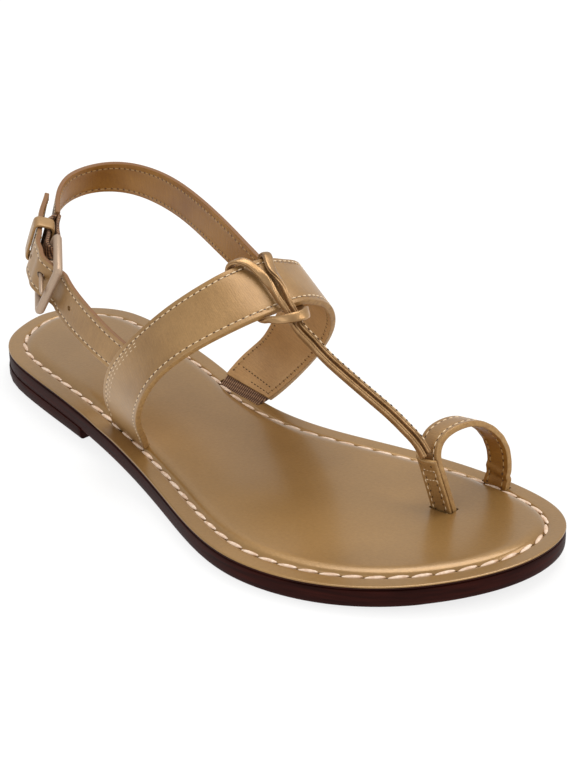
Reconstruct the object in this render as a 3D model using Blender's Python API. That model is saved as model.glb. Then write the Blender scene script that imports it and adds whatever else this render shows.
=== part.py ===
"""A right foot's toe loop sandal: bent leather sole, welted footbed, instep strap tied by a T strap
that runs down to a toe post, a loop for the big toe, and a buckled strap round the heel.

Tables give places as a shoemaker would, in per cent: along from the back of the heel in shares of
the length, out towards the big toe side in shares of the ball width, up from the floor in shares
of the instep strap's height. Sizes of stock, such as thickness and width, are millimetres.
The object's frame has X from heel to toe, Y towards the big toe side, Z up from the floor, and its
origin on the floor under the middle of the sole."""
from collections import namedtuple
from math import cos, pi, sin

import bmesh
import bpy
import numpy as np

# Driving sizes in millimetres
LENGTH = 247.0
BALL_WIDTH = 97.0
INSTEP_HEIGHT = 75.0
HEEL_RISE = 4.0
TOE_SPRING = 3.9
SOLE_THICK = 6.2
FLANGE_THICK = 1.2
PAD_RISE = 1.0
STRAP_THICK = 2.2
TOE_THICK = 2.0
TAB_THICK = 1.3
ELASTIC_THICK = 1.2
CORD_THICK = 1.7
CORD_GAP = 0.5
GAP = 0.3

# Stations of the sole's bend, in per cent of the length
WAIST_BACK = 19.6
WAIST_FRONT = 58.1
SPRING_START = 76.3
HEEL_BREAST = 29.3

# Outline of the sole from the back of the heel, round the little toe side: along, out
OUTLINE = (
    (0.0, 0.0), (0.7, -10.8), (3.4, -23.2), (8.3, -31.4), (13.6, -34.6), (27.3, -38.8),
    (41.9, -44.3), (54.0, -51.9), (63.4, -58.6), (71.1, -60.8), (78.3, -57.5), (86.4, -48.0),
    (92.9, -34.2), (97.6, -17.0), (99.9, 0.0), (99.8, 14.4), (97.4, 27.8), (92.9, 35.9),
    (87.2, 39.1), (79.1, 38.4), (70.2, 33.2), (60.1, 24.7), (50.8, 18.1), (42.7, 16.5),
    (33.8, 20.3), (23.7, 23.7), (13.6, 25.8), (7.5, 23.3), (3.0, 15.1), (0.6, 6.2),
)

# One section of a strap: the place of its rear or lower edge, then of its front or upper edge
Row = namedtuple("Row", "rear_along rear_out rear_up front_along front_out front_up")

# The instep strap with its gore, from the slot on the little toe side over to the inner slot
INSTEP_ROWS = (
    Row(34.7, -33.2, 12.1, 43.0, -35.9, 10.5),
    Row(35.2, -37.3, 25.6, 44.1, -39.1, 19.6),
    Row(36.4, -40.0, 36.1, 45.0, -42.4, 27.1),
    Row(39.5, -41.0, 54.8, 47.5, -46.7, 42.4),
    Row(43.2, -37.1, 70.4, 50.3, -45.0, 58.7),
    Row(46.8, -30.0, 84.3, 53.7, -36.6, 72.4),
    Row(49.8, -19.4, 94.9, 57.0, -23.2, 82.0),
    Row(51.2, -5.2, 99.3, 58.9, -6.7, 86.8),
    Row(50.5, 14.0, 92.3, 58.7, 10.8, 82.2),
    Row(47.8, 25.0, 78.0, 56.0, 22.7, 64.9),
    Row(43.2, 23.6, 50.2, 51.7, 25.6, 42.0),
    Row(39.0, 25.2, 33.2, 47.5, 22.3, 24.4),
    Row(36.3, 21.4, 22.0, 45.0, 17.9, 14.5),
    Row(35.5, 13.1, 12.0, 43.8, 12.1, 10.4),
)
GORE_START = 0.966
GORE_SLANT = 0.011

# The strap round the heel, from under the instep strap by way of the buckle to its inner end
SLING_ROWS = (
    Row(41.5, -36.6, 41.0, 44.8, -35.6, 57.5),
    Row(37.9, -38.9, 46.4, 40.4, -37.8, 62.6),
    Row(30.4, -40.8, 56.5, 32.5, -38.9, 73.7),
    Row(22.8, -35.7, 64.3, 24.8, -33.6, 81.5),
    Row(19.3, -29.8, 68.1, 21.3, -27.7, 85.3),
    Row(12.1, -16.2, 72.5, 13.7, -14.3, 90.3),
    Row(5.5, -0.9, 75.6, 7.4, -0.6, 93.1),
    Row(3.8, 7.6, 77.3, 6.0, 6.4, 94.4),
    Row(4.1, 16.4, 78.8, 6.2, 13.2, 95.6),
    Row(6.4, 23.5, 79.7, 7.8, 19.5, 96.9),
    Row(14.9, 28.9, 79.5, 15.3, 26.9, 98.0),
    Row(25.4, 25.4, 77.5, 26.0, 25.1, 96.0),
    Row(35.8, 19.9, 72.9, 37.1, 19.4, 91.1),
    Row(45.5, 20.6, 62.6, 48.1, 16.6, 80.2),
    Row(48.2, 21.5, 59.3, 50.6, 18.0, 75.8),
)

# Places along the sling, in shares of its run from the little toe side
FAR_BAR = 0.194
PIVOT_BAR = 0.272
KEEPER = 0.313
HEEL_END = 0.356
FREE_TIP = 0.414
OPEN_HOLES = (0.157, 0.265)
TIP_TAPER = 0.9

# How far the free end stands off the sling's middle surface: share of the run, millimetres
FREE_LIFT = (
    (0.0, 0.0), (0.195, 0.0), (0.241, 7.0), (0.268, 8.0), (0.295, 7.0), (0.331, 6.3),
    (FREE_TIP, 4.0), (1.0, 4.0),
)

# The buckle, in millimetres
BUCKLE_WIDE = 18.4
BAR_WIDE = 3.2
BAR_THICK = 3.0
BUCKLE_LEAN = 0.09
FAR_BAR_LIFT = 4.6
PIVOT_BAR_LIFT = 2.6
PRONG_THICK = 1.8
HOLE_RADIUS = 1.15
KEEPER_WIDE = 6.0
KEEPER_THICK = 1.2
KEEPER_LIFT = 1.9

# The toe loop, from its post between the toes over to the sole's inner side
TOE_ROWS = (
    Row(81.0, 9.7, 8.8, 84.3, 10.9, 9.5),
    Row(80.9, 7.9, 18.9, 83.8, 8.8, 21.2),
    Row(80.1, 7.3, 27.5, 83.2, 7.5, 30.5),
    Row(78.9, 8.1, 34.8, 82.4, 7.4, 38.1),
    Row(78.2, 10.9, 40.4, 82.1, 9.7, 43.5),
    Row(78.3, 18.4, 44.0, 82.2, 17.0, 46.7),
    Row(78.8, 26.5, 42.0, 82.7, 25.3, 45.3),
    Row(79.6, 32.8, 35.5, 83.5, 31.9, 38.8),
    Row(80.1, 35.8, 27.6, 84.1, 35.4, 29.9),
    Row(80.4, 36.5, 19.2, 84.5, 35.6, 20.7),
    Row(80.5, 34.0, 8.8, 84.6, 34.3, 9.3),
)

# The tab sewn to the post's outer face, from the sole up to its cuff
TAB_ROWS = (
    Row(81.2, 7.7, 8.8, 84.2, 8.9, 9.5),
    Row(80.9, 5.9, 18.9, 83.8, 6.8, 21.2),
    Row(80.1, 5.3, 27.5, 83.2, 5.5, 30.0),
    Row(79.1, 5.4, 36.0, 82.6, 5.2, 37.0),
)

# Middle line of the T strap's two free runs, from the tab's cuff up to the knot: along, out, up
T_LINE = (
    (81.1, 4.5, 38.3), (79.8, 3.9, 43.6), (78.2, 3.6, 46.7), (75.8, 2.6, 51.5), (73.5, 1.0, 56.1),
    (71.0, -0.6, 60.7), (68.5, -2.2, 65.4), (66.0, -3.8, 70.5), (64.1, -5.0, 75.4),
)

# The knot on the instep strap. out: place across the foot in per cent; side: -1 on the rear edge,
# 1 on the front edge; lift: millimetres off the middle surface; round, fore, proud: the strip's
# face along the strap, forwards and off it; wide: millimetres
Lay = namedtuple("Lay", "out side lift round fore proud wide")
KNOT = (
    Lay(-6.3, 1.58, -0.3, -1.0, 0.0, -0.1, 2.5),
    Lay(-6.2, 1.28, 1.1, -1.0, 0.0, 0.0, 2.5),
    Lay(-6.7, 1.11, 2.6, -1.0, 0.0, 0.0, 2.5),
    Lay(-6.9, 0.95, 2.9, -1.0, 0.0, 0.0, 2.6),
    Lay(-6.4, 0.40, 3.0, -1.0, 0.0, 0.2, 2.7),
    Lay(-6.0, -0.10, 2.9, -0.6, 0.0, 0.8, 2.9),
    Lay(-6.2, -0.45, 2.6, -0.2, 0.0, 1.0, 3.0),
    Lay(-7.2, -0.78, 2.6, 0.0, 0.0, 1.0, 3.1),
    Lay(-9.4, -1.06, 1.95, 0.0, -0.5, 0.8, 3.2),
    Lay(-11.4, -1.15, 0.1, 0.0, -1.0, 0.0, 3.2),
    Lay(-12.5, -1.07, -1.9, 0.0, -0.7, -0.7, 3.2),
    Lay(-12.8, -0.60, -2.6, 0.0, 0.0, -1.0, 3.4),
    Lay(-13.0, 0.10, -2.6, 0.0, 0.0, -1.0, 3.4),
    Lay(-13.1, 0.62, -2.9, -0.2, 0.1, -1.0, 3.0),
    Lay(-13.0, 0.97, -2.6, -0.6, 0.5, -0.7, 2.4),
    Lay(-12.1, 1.14, -0.6, -0.5, 0.8, 0.2, 2.3),
    Lay(-10.5, 1.36, 1.1, -0.2, 0.6, 0.7, 2.7),
    Lay(-8.0, 1.55, 2.6, 0.0, 0.4, 0.9, 3.2),
    Lay(-5.6, 1.63, 2.9, 0.0, 0.4, 0.9, 3.5),
    Lay(-2.4, 1.60, 2.2, 0.2, 0.4, 0.9, 3.7),
    Lay(0.7, 1.42, 0.5, 0.7, 0.5, 0.5, 3.7),
    Lay(2.4, 1.19, -1.9, 0.7, 0.3, -0.6, 3.4),
    Lay(2.8, 0.76, -2.9, 0.2, 0.1, -1.0, 3.5),
    Lay(2.7, 0.20, -2.9, 0.0, 0.0, -1.0, 3.6),
    Lay(2.4, -0.60, -2.7, 0.0, 0.0, -1.0, 3.6),
    Lay(2.1, -1.07, -1.9, 0.0, -0.7, -0.7, 3.4),
    Lay(1.9, -1.15, 0.1, 0.0, -1.0, 0.0, 3.4),
    Lay(1.6, -1.06, 1.95, 0.0, -0.6, 0.8, 3.4),
    Lay(0.2, -0.74, 2.65, 0.0, 0.0, 1.0, 3.3),
    Lay(-1.4, -0.33, 2.6, 0.2, 0.0, 1.0, 3.1),
    Lay(-2.0, 0.05, 2.9, 0.6, 0.0, 0.8, 2.9),
    Lay(-3.0, 0.50, 3.0, 1.0, 0.0, 0.2, 2.7),
    Lay(-4.2, 0.95, 2.9, 1.0, 0.0, 0.0, 2.6),
    Lay(-4.4, 1.11, 2.6, 1.0, 0.0, 0.0, 2.5),
    Lay(-3.8, 1.28, 1.1, 1.0, 0.0, 0.0, 2.5),
    Lay(-3.9, 1.58, -0.3, 1.0, 0.0, 0.1, 2.5),
)
T_STRAP_DEEP = 3.5
T_STRAP_SPREAD = np.array((0.0, 0.9, 0.43))

SLOT_BASE = SOLE_THICK + 2 * GAP
RING_HALF = 48
TO_METRES = 0.001


# Lines and surfaces

def natural_spline(points, count):
    """A natural cubic spline through the points, read at count places evenly spaced by chord."""
    points = np.asarray(points, float)
    run = np.concatenate(([0.0], np.cumsum(np.linalg.norm(np.diff(points, axis=0), axis=1))))
    step = np.diff(run)
    size = len(points)
    matrix = np.eye(size)
    right = np.zeros_like(points)
    for i in range(1, size - 1):
        matrix[i, i - 1:i + 2] = step[i - 1], 2 * (step[i - 1] + step[i]), step[i]
        rise_after = (points[i + 1] - points[i]) / step[i]
        rise_before = (points[i] - points[i - 1]) / step[i - 1]
        right[i] = 6 * (rise_after - rise_before)
    bend = np.linalg.solve(matrix, right)
    places = np.linspace(0, run[-1], count)
    span = np.clip(np.searchsorted(run, places, side="right") - 1, 0, size - 2)
    width = step[span][:, None]
    before = (run[span + 1] - places)[:, None]
    after = (places - run[span])[:, None]
    curve = (bend[span] * before ** 3 + bend[span + 1] * after ** 3) / (6 * width)
    curve += (points[span] / width - bend[span] * width / 6) * before
    curve += (points[span + 1] / width - bend[span + 1] * width / 6) * after
    return curve


def unit(vectors):
    """The same vectors, one long."""
    vectors = np.asarray(vectors, float)
    return vectors / np.linalg.norm(vectors, axis=-1, keepdims=True)


def read(table, places):
    """Rows of a table evenly spaced over 0 to 1, read at the given places."""
    steps = np.linspace(0, 1, len(table))
    return np.stack([np.interp(places, steps, column) for column in np.asarray(table).T], axis=-1)


def outline_halves():
    """The little toe side and the big toe side of the outline, each from heel to toe, in per cent."""
    wrapped = np.array(OUTLINE[-4:] + OUTLINE + OUTLINE[:5]) * (LENGTH, BALL_WIDTH)
    dense = natural_spline(wrapped, 4000)
    start = np.argmin(np.linalg.norm(dense[:1000] - wrapped[4], axis=1))
    close = 3000 + np.argmin(np.linalg.norm(dense[3000:] - wrapped[4], axis=1))
    loop = dense[start:close]
    loop = np.roll(loop, -int(np.argmin(loop[:, 0])), axis=0)
    tip = int(np.argmax(loop[:, 0]))
    outer = loop[:tip + 1]
    inner = np.concatenate((loop[:1], loop[:tip - 1:-1]))
    return [half / (LENGTH, BALL_WIDTH) for half in (outer, inner)]


def even_steps(line, count):
    """A dense line read at count places, evenly spaced along its length in millimetres."""
    scaled = line * (LENGTH, BALL_WIDTH)
    run = np.concatenate(([0.0], np.cumsum(np.linalg.norm(np.diff(scaled, axis=0), axis=1))))
    places = np.linspace(0, run[-1], count)
    return np.stack([np.interp(places, run, column) for column in line.T], axis=-1)


OUTER_SIDE, INNER_SIDE = outline_halves()
ALONG_MIDDLE = (OUTER_SIDE[:, 0].min() + OUTER_SIDE[:, 0].max()) / 2
OUT_MIDDLE = (OUTER_SIDE[:, 1].min() + INNER_SIDE[:, 1].max()) / 2


def placed(places):
    """Shares along, out and up as millimetres in the object's frame."""
    shares = np.asarray(places, float) - (ALONG_MIDDLE, OUT_MIDDLE, 0.0)
    return shares * (LENGTH, BALL_WIDTH, INSTEP_HEIGHT) / 100


def underside(x):
    """Height of the sole's underside over the floor at X: raised waist and heel, toe spring."""
    along = np.asarray(x) / LENGTH * 100 + ALONG_MIDDLE
    back = np.clip((WAIST_FRONT - along) / (WAIST_FRONT - WAIST_BACK), 0, 1)
    front = np.clip((along - SPRING_START) / (100 - SPRING_START), 0, None)
    return HEEL_RISE * back * back * (3 - 2 * back) + TOE_SPRING * front * front


def ring(inset, height):
    """The outline as a closed ring, moved in by inset and up by height from the sole's underside."""
    halves = [even_steps(side, RING_HALF + 1) for side in (OUTER_SIDE, INNER_SIDE)]
    loop = np.concatenate((halves[0], halves[1][-2:0:-1]))
    flat = placed(np.column_stack((loop, np.zeros(len(loop)))))[:, :2]
    along = unit(np.roll(flat, -1, axis=0) - np.roll(flat, 1, axis=0))
    inwards = np.column_stack((-along[:, 1], along[:, 0]))
    moved = flat + inwards * inset
    return np.column_stack((moved, underside(moved[:, 0]) + height))


class Band:
    """A strap's middle surface between its two edge lines, read at any share of its run."""

    def __init__(self, rows, count=241):
        edges = np.hstack((placed([row[:3] for row in rows]), placed([row[3:] for row in rows])))
        edges = natural_spline(edges, count)
        self.edges = edges
        rear, front = edges[:, :3], edges[:, 3:]
        self.centre = (rear + front) / 2
        self.half = (front - rear) / 2
        along = unit(np.gradient(self.centre, axis=0))
        self.proud = unit(np.cross(self.half, along))
        self.length = np.linalg.norm(np.diff(self.centre, axis=0), axis=1).sum()

    def frame(self, share):
        """Centre, half width vector, outward face and run direction at a share of the run."""
        centre, half, proud = (read(table, share) for table in (self.centre, self.half, self.proud))
        proud = unit(proud)
        return centre, half, proud, unit(np.cross(proud, half))

    def slanted(self, share, slant):
        """Centre and half width vector of a cut whose rear edge is further along the run."""
        rear = read(self.edges[:, :3], min(share + slant, 1.0))
        front = read(self.edges[:, 3:], share - slant)
        return (rear + front) / 2, (front - rear) / 2

    def point(self, share, side=0.0, lift=0.0):
        """A place on the band: side from -1 to 1 over its width, lift in millimetres off it."""
        centre, half, proud, _ = self.frame(share)
        return centre + half * side + proud * lift

    def share_at(self, out):
        """The share, past the first third, where the band's centre lies at this place across."""
        third = len(self.centre) // 3
        target = placed((0.0, out, 0.0))[1]
        steps = np.linspace(0, 1, len(self.centre))
        top = slice(third, 2 * third)
        return np.interp(target, self.centre[top, 1], steps[top])


# Solids

def finish(name, mesh_data, material):
    """A bmesh in millimetres becomes a named object in metres with its faces outwards."""
    bmesh.ops.recalc_face_normals(mesh_data, faces=mesh_data.faces)
    bmesh.ops.scale(mesh_data, vec=(TO_METRES,) * 3, verts=mesh_data.verts)
    mesh = bpy.data.meshes.new(name)
    mesh_data.to_mesh(mesh)
    mesh_data.free()
    mesh.materials.append(material)
    mesh.shade_smooth()
    mesh.set_sharp_from_angle(angle=0.6)
    made = bpy.data.objects.new(name, mesh)
    bpy.context.scene.collection.objects.link(made)
    return made


def tube(sections, closed=False):
    """A bmesh skin over like sections, capped at both ends unless it closes on itself."""
    mesh_data = bmesh.new()
    loops = [[mesh_data.verts.new(point) for point in section] for section in sections]
    pairs = list(zip(loops, loops[1:]))
    if closed:
        pairs.append((loops[-1], loops[0]))
    for before, after in pairs:
        for i in range(len(before)):
            j = (i + 1) % len(before)
            mesh_data.faces.new((before[i], before[j], after[j], after[i]))
    if not closed:
        mesh_data.faces.new(loops[0])
        mesh_data.faces.new(loops[-1])
    return mesh_data


def strip_section(centre, half, proud, thick, ease=0.45):
    """Eight corners of a flat strip's section: its four edges are eased."""
    side = unit(half)
    wide = np.linalg.norm(half)
    deep = thick / 2
    corners = ((wide - ease, deep), (wide, deep - ease), (wide, ease - deep), (wide - ease, -deep),
               (ease - wide, -deep), (-wide, ease - deep), (-wide, deep - ease), (ease - wide, deep))
    return [centre + side * across + proud * off for across, off in corners]


def band_sections(band, start, end, steps, thick, lift=lambda share: 0.0, taper=lambda share: 1.0):
    """Sections of a strap that follows a band, lifted off it and narrowed where a rule says."""
    shares = np.linspace(start, end, steps)
    centres = np.array([band.point(share, 0.0, lift(share)) for share in shares])
    runs = unit(np.gradient(centres, axis=0))
    sections = []
    for share, centre, run in zip(shares, centres, runs):
        half = band.frame(share)[1] * taper(share)
        proud = unit(np.cross(half, run))
        sections.append(strip_section(centre, half, proud, thick))
    return sections


def slab(rings):
    """A solid over rings of the outline, from the underside's middle round to the top's middle."""
    mesh_data = bmesh.new()
    loops = [[mesh_data.verts.new(point) for point in points] for points in rings]
    count = len(loops[0])
    for before, after in zip(loops, loops[1:]):
        for i in range(count):
            j = (i + 1) % count
            mesh_data.faces.new((before[i], before[j], after[j], after[i]))
    for loop in (loops[0], loops[-1]):
        for i in range(RING_HALF):
            corners = [loop[i], loop[i + 1], loop[count - i - 1], loop[(count - i) % count]]
            corners = list(dict.fromkeys(corners))
            mesh_data.faces.new(corners)
    return mesh_data


def subtract(body, cutter):
    """Cuts one solid out of another for good; the cutter stays only as a hidden guide."""
    cutter.hide_render = True
    cutter.display_type = "WIRE"
    cut = body.modifiers.new("cut " + cutter.name, "BOOLEAN")
    cut.operation = "DIFFERENCE"
    cut.solver = "EXACT"
    cut.object = cutter


# Materials

def finish_of(name, colour, roughness, metallic):
    """A plain Principled material."""
    made = bpy.data.materials.new(name)
    made.use_nodes = True
    shader = made.node_tree.nodes["Principled BSDF"]
    shader.inputs["Base Color"].default_value = (*colour, 1.0)
    shader.inputs["Roughness"].default_value = roughness
    shader.inputs["Metallic"].default_value = metallic
    return made


# The sole

def make_outsole(material):
    """The bent sole: a full thickness slab with an eased tread edge."""
    rings = [ring(1.5, 0.0), ring(0.5, 0.35), ring(0.0, 1.3), ring(0.0, SOLE_THICK - 0.5),
             ring(0.25, SOLE_THICK)]
    return finish("outsole", slab(rings), material)


def make_heel_lift(material):
    """The low lift under the heel, cut straight at its breast; it fills the rise to the floor."""
    rings = []
    for inset, share in ((1.2, 0.0), (0.4, 0.12), (0.15, 0.3), (0.15, 1.0)):
        points = ring(inset, 0.0)
        points[:, 2] = (points[:, 2] - GAP) * share
        rings.append(points)
    for points in rings:
        points[:, 2] = np.clip(points[:, 2], 0.0, None)
    breast = placed((HEEL_BREAST, 0.0, 0.0))[0]
    keep = slab(rings)
    everything = keep.verts[:] + keep.edges[:] + keep.faces[:]
    cut = bmesh.ops.bisect_plane(keep, geom=everything, plane_co=(breast, 0, 0),
                                 plane_no=(1.0, 0.0, 0.12), clear_outer=True)
    rim = [item for item in cut["geom_cut"] if isinstance(item, bmesh.types.BMEdge)]
    bmesh.ops.contextual_create(keep, geom=rim)
    return finish("heel_lift", keep, material)


def make_footbed(material, cutters):
    """The insole: a flat flange outside the stitches, padded inside, slotted for each strap."""
    base = SOLE_THICK + GAP
    top = base + FLANGE_THICK
    rings = [ring(0.45, base), ring(0.2, base + 0.2), ring(0.2, top - 0.3), ring(0.5, top),
             ring(7.2, top), ring(8.4, top + 0.35 * PAD_RISE), ring(10.0, top + 0.8 * PAD_RISE),
             ring(12.5, top + PAD_RISE)]
    made = finish("footbed", slab(rings), material)
    for cutter in cutters:
        subtract(made, cutter)
    return made


def level_end(sections, last, height):
    """Moves a strap's end corners along its run to a height over the sole's underside."""
    before, end = (sections[-2], sections[-1]) if last else (sections[1], sections[0])
    run = unit(np.mean(end, axis=0) - np.mean(before, axis=0))
    moved = [corner + run * ((underside(corner[0]) + height - corner[2]) / run[2]) for corner in end]
    sections[-1 if last else 0] = moved
    return sections


def slot_cutter(name, band, last, thick, material, lift=0.0, slant=0.0):
    """A hidden block round a strap's end where it goes down through the footbed."""
    sections = []
    for rise in (0.0, 1.5, 3.0, 4.5):
        step = rise / band.length
        share = 1.0 - step if last else step
        proud = band.frame(share)[2]
        centre, half = band.slanted(share, slant * step / (1.0 - GORE_START))
        wide = np.linalg.norm(half)
        grown = half * (wide + GAP + 0.1) / wide
        sections.append(strip_section(centre + proud * lift, grown, proud, thick + 2 * GAP + 0.3, 0.2))
    return finish(name, tube(level_end(sections, False, SOLE_THICK - 1.0)), material)


# The straps

def slanted_sections(band, places, thick, taper=1.0):
    """Sections of a strap at rows of share and slant."""
    cuts = [band.slanted(share, slant) for share, slant in places]
    sections = []
    for (share, _), (centre, half) in zip(places, cuts):
        proud = band.frame(share)[2]
        proud = unit(proud - half * np.dot(proud, half) / np.dot(half, half))
        sections.append(strip_section(centre, half * taper, proud, thick))
    return sections


def make_instep_strap(band, material):
    """The broad strap over the instep, down to its slanted folded end above the gore."""
    shares = np.linspace(0.0, GORE_START, 46)
    places = [(share, GORE_SLANT * max(0.0, (share - 0.85) / (GORE_START - 0.85))) for share in shares]
    sections = level_end(slanted_sections(band, places, STRAP_THICK), False, SLOT_BASE)
    return finish("instep_strap", tube(sections), material)


def make_gore(band, material):
    """The woven elastic from the strap's folded end down into the footbed."""
    start = GORE_START + GAP / band.length
    places = [(start + (1.0 - start) * t, GORE_SLANT * (1 - t)) for t in (0.0, 0.4, 1.0)]
    sections = level_end(slanted_sections(band, places, ELASTIC_THICK, 0.97), True, SLOT_BASE)
    return finish("medial_gore", tube(sections), material)


def free_lift(share):
    """How far the sling's front part stands off the band: level, then out over the pivot bar."""
    places = [row[0] for row in FREE_LIFT]
    i = min(int(np.searchsorted(places, share, side="right")) - 1, len(places) - 2)
    (start, low), (end, high) = FREE_LIFT[i], FREE_LIFT[i + 1]
    t = (share - start) / (end - start)
    return low + (high - low) * t * t * (3 - 2 * t)


def free_taper(share):
    """How much of its full width the free end keeps: it narrows behind the buckle."""
    return np.interp(share, (PIVOT_BAR - 0.02, KEEPER - 0.015), (1.0, TIP_TAPER))


def hole_cutter(name, centre, direction, radius, reach, material):
    """A hidden round cutter along a direction."""
    direction = unit(direction)
    side = unit(np.cross(direction, (0.3, 0.5, 1.0)))
    other = np.cross(direction, side)
    sections = []
    for off in (-reach, reach):
        angles = [2 * pi * k / 12 for k in range(12)]
        sections.append([centre + direction * off + (side * cos(a) + other * sin(a)) * radius
                         for a in angles])
    return finish(name, tube(sections), material)


def buckle_axes(band):
    """Middles of the far and the pivot bar, and the frame's directions: along, across, proud."""
    far = band.point(FAR_BAR, 0.0, FAR_BAR_LIFT)
    pivot = band.point(PIVOT_BAR, 0.0, PIVOT_BAR_LIFT)
    along = unit(pivot - far)
    across = band.frame((FAR_BAR + PIVOT_BAR) / 2)[1]
    across = unit(across - along * np.dot(across, along))
    across = unit(across - np.cross(across, along) * BUCKLE_LEAN)
    return far, pivot, along, across, unit(np.cross(across, along))


def prong_line(band):
    """Ends of the prong's straight arm: over the pivot bar, and on top of the far bar."""
    far, pivot, along, _, proud = buckle_axes(band)
    off = BAR_THICK / 2 + GAP + PRONG_THICK / 2
    return pivot + proud * off, far + proud * off - along * 2.2


def make_sling_front(band, material):
    """The perforated strap from under the instep strap through the buckle to its free tip."""
    sections = band_sections(band, 0.0, FREE_TIP, 60, STRAP_THICK, free_lift, free_taper)
    made = finish("sling_front", tube(sections), material)
    for number, share in enumerate(OPEN_HOLES):
        centre = band.point(share, 0.0, free_lift(share))
        proud = band.frame(share)[2]
        subtract(made, hole_cutter(f"hole_{number}", centre, proud, HOLE_RADIUS, 4.0, material))
    start, end = prong_line(band)
    middle = start + (end - start) * 0.43
    radius = PRONG_THICK / 2 + GAP + 0.15
    subtract(made, hole_cutter("prong_hole", middle, end - start, radius, 5.4, material))
    return made


def make_sling_heel(band, material):
    """The strap round the heel, with its last centimetre folded back double."""
    fold = HEEL_END + 9.0 / band.length
    single = band_sections(band, 1.0, fold, 64, STRAP_THICK)
    double = band_sections(band, fold - 0.6 / band.length, HEEL_END, 4, STRAP_THICK + 1.2)
    return finish("sling_heel", tube(single + double), material)


def make_sling_elastic(band, material):
    """The woven elastic: a loop from the folded end round the pivot bar and back again."""
    _, pivot, along, across, proud = buckle_axes(band)
    wrap = BAR_THICK / 2 + GAP + ELASTIC_THICK / 2
    ahead = BAR_WIDE / 2 + GAP + ELASTIC_THICK / 2
    apart = KEEPER_THICK / 2 + GAP + ELASTIC_THICK / 2 + 0.3
    closed = ELASTIC_THICK / 2 + GAP / 2
    end_centre, end_half, end_face, _ = band.frame(HEEL_END - 2 * GAP / band.length)
    foot = [(end_centre - end_face * closed, unit(end_half))]
    outer = [(end_centre + end_face * closed, unit(end_half))]
    for share in (KEEPER + 0.018, KEEPER - 0.016):
        centre, half, face, _ = band.frame(share)
        foot.append((centre + face * (KEEPER_LIFT - apart), unit(half)))
        outer.append((centre + face * (KEEPER_LIFT + apart), unit(half)))
    foot += [(pivot - proud * wrap + along * 1.5, across), (pivot - proud * wrap, across)]
    outer += [(pivot + proud * wrap + along * 1.5, across), (pivot + proud * wrap, across)]
    outer.reverse()
    bend = []
    for k in range(1, 8):
        turn = pi * k / 8
        bend.append((pivot - along * ahead * sin(turn) - proud * wrap * cos(turn), across))
    run_down = natural_spline([np.concatenate(pair) for pair in foot], 12)
    run_up = natural_spline([np.concatenate(pair) for pair in outer], 12)
    rows = np.vstack((run_down, [np.concatenate(pair) for pair in bend], run_up))
    runs = unit(np.gradient(rows[:, :3], axis=0))
    sections = []
    for row, run in zip(rows, runs):
        half = unit(row[3:]) * 6.2
        sections.append(strip_section(row[:3], half, unit(np.cross(half, run)), ELASTIC_THICK, 0.3))
    made = finish("sling_elastic", tube(sections), material)
    notch = [strip_section(pivot + along * way, across * 1.8, proud, 14.0, 0.1) for way in (4.4, -8.0)]
    subtract(made, finish("prong_notch", tube(notch), material))
    return made


def make_keeper(band, material):
    """The leather loop round the free end and the elastic's outer layer."""
    inner = KEEPER_LIFT
    outer = free_lift(KEEPER) + STRAP_THICK / 2 + 0.4 + KEEPER_THICK / 2
    half_high = (outer - inner) / 2
    half_wide = 7.0 * TIP_TAPER + 0.5 + KEEPER_THICK / 2
    centre, half, proud, run = band.frame(KEEPER)
    across = unit(half)
    middle = centre + proud * (outer + inner) / 2
    corner = 1.6
    sections = []
    for quarter, (u, v) in enumerate(((1, 1), (-1, 1), (-1, -1), (1, -1))):
        for k in range(4):
            turn = pi / 2 * (quarter + k / 3)
            point = (middle + across * (u * (half_wide - corner) + corner * cos(turn))
                     + proud * (v * (half_high - corner) + corner * sin(turn)))
            out = across * cos(turn) + proud * sin(turn)
            sections.append(strip_section(point, run * KEEPER_WIDE / 2, out, KEEPER_THICK, 0.25))
    return finish("keeper_loop", tube(sections, closed=True), material)


# The buckle

def make_buckle_frame(band, material):
    """A rectangular ring of flat metal bar with eased edges."""
    far, pivot, along, across, proud = buckle_axes(band)
    middle = (far + pivot) / 2
    half_long = np.linalg.norm(pivot - far) / 2
    half_wide = BUCKLE_WIDE / 2
    corner = 1.6
    sections = []
    for quarter, (u, v) in enumerate(((1, 1), (-1, 1), (-1, -1), (1, -1))):
        for k in range(4):
            turn = pi / 2 * (quarter + k / 3)
            out = across * cos(turn) + along * sin(turn)
            point = (middle + across * (u * (half_wide - corner) + corner * cos(turn))
                     + along * (v * (half_long - corner) + corner * sin(turn)))
            sections.append(strip_section(point, out * BAR_WIDE / 2, proud, BAR_THICK, 0.9))
    return finish("buckle_frame", tube(sections, closed=True), material)


def make_prong(band, material):
    """A round wire: an open eye round the pivot bar and a straight arm to the far bar."""
    _, pivot, along, across, up = buckle_axes(band)
    start, end = prong_line(band)
    ahead = -along
    reach_up = BAR_THICK / 2 + GAP + PRONG_THICK / 2
    reach_ahead = BAR_WIDE / 2 + GAP + PRONG_THICK / 2
    path = []
    for k in range(13):
        turn = pi / 2 + 0.25 + (1.5 * pi - 0.1) * (1 - k / 12)
        path.append(pivot + ahead * reach_ahead * cos(turn) + up * reach_up * sin(turn))
    path += [start + (end - start) * t for t in (0.1, 0.3, 0.6, 0.9, 1.0)]
    path = np.array(path)
    runs = unit(np.gradient(path, axis=0))
    sections = []
    for number, (centre, run) in enumerate(zip(path, runs)):
        out = unit(np.cross(across, run))
        radius = PRONG_THICK / 2 * (0.75 if number == len(path) - 1 else 1.0)
        sections.append([centre + (across * cos(a) + out * sin(a)) * radius
                         for a in (2 * pi * k / 8 for k in range(8))])
    return finish("buckle_prong", tube(sections), material)


# The T strap, its tab and the toe loop

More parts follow.
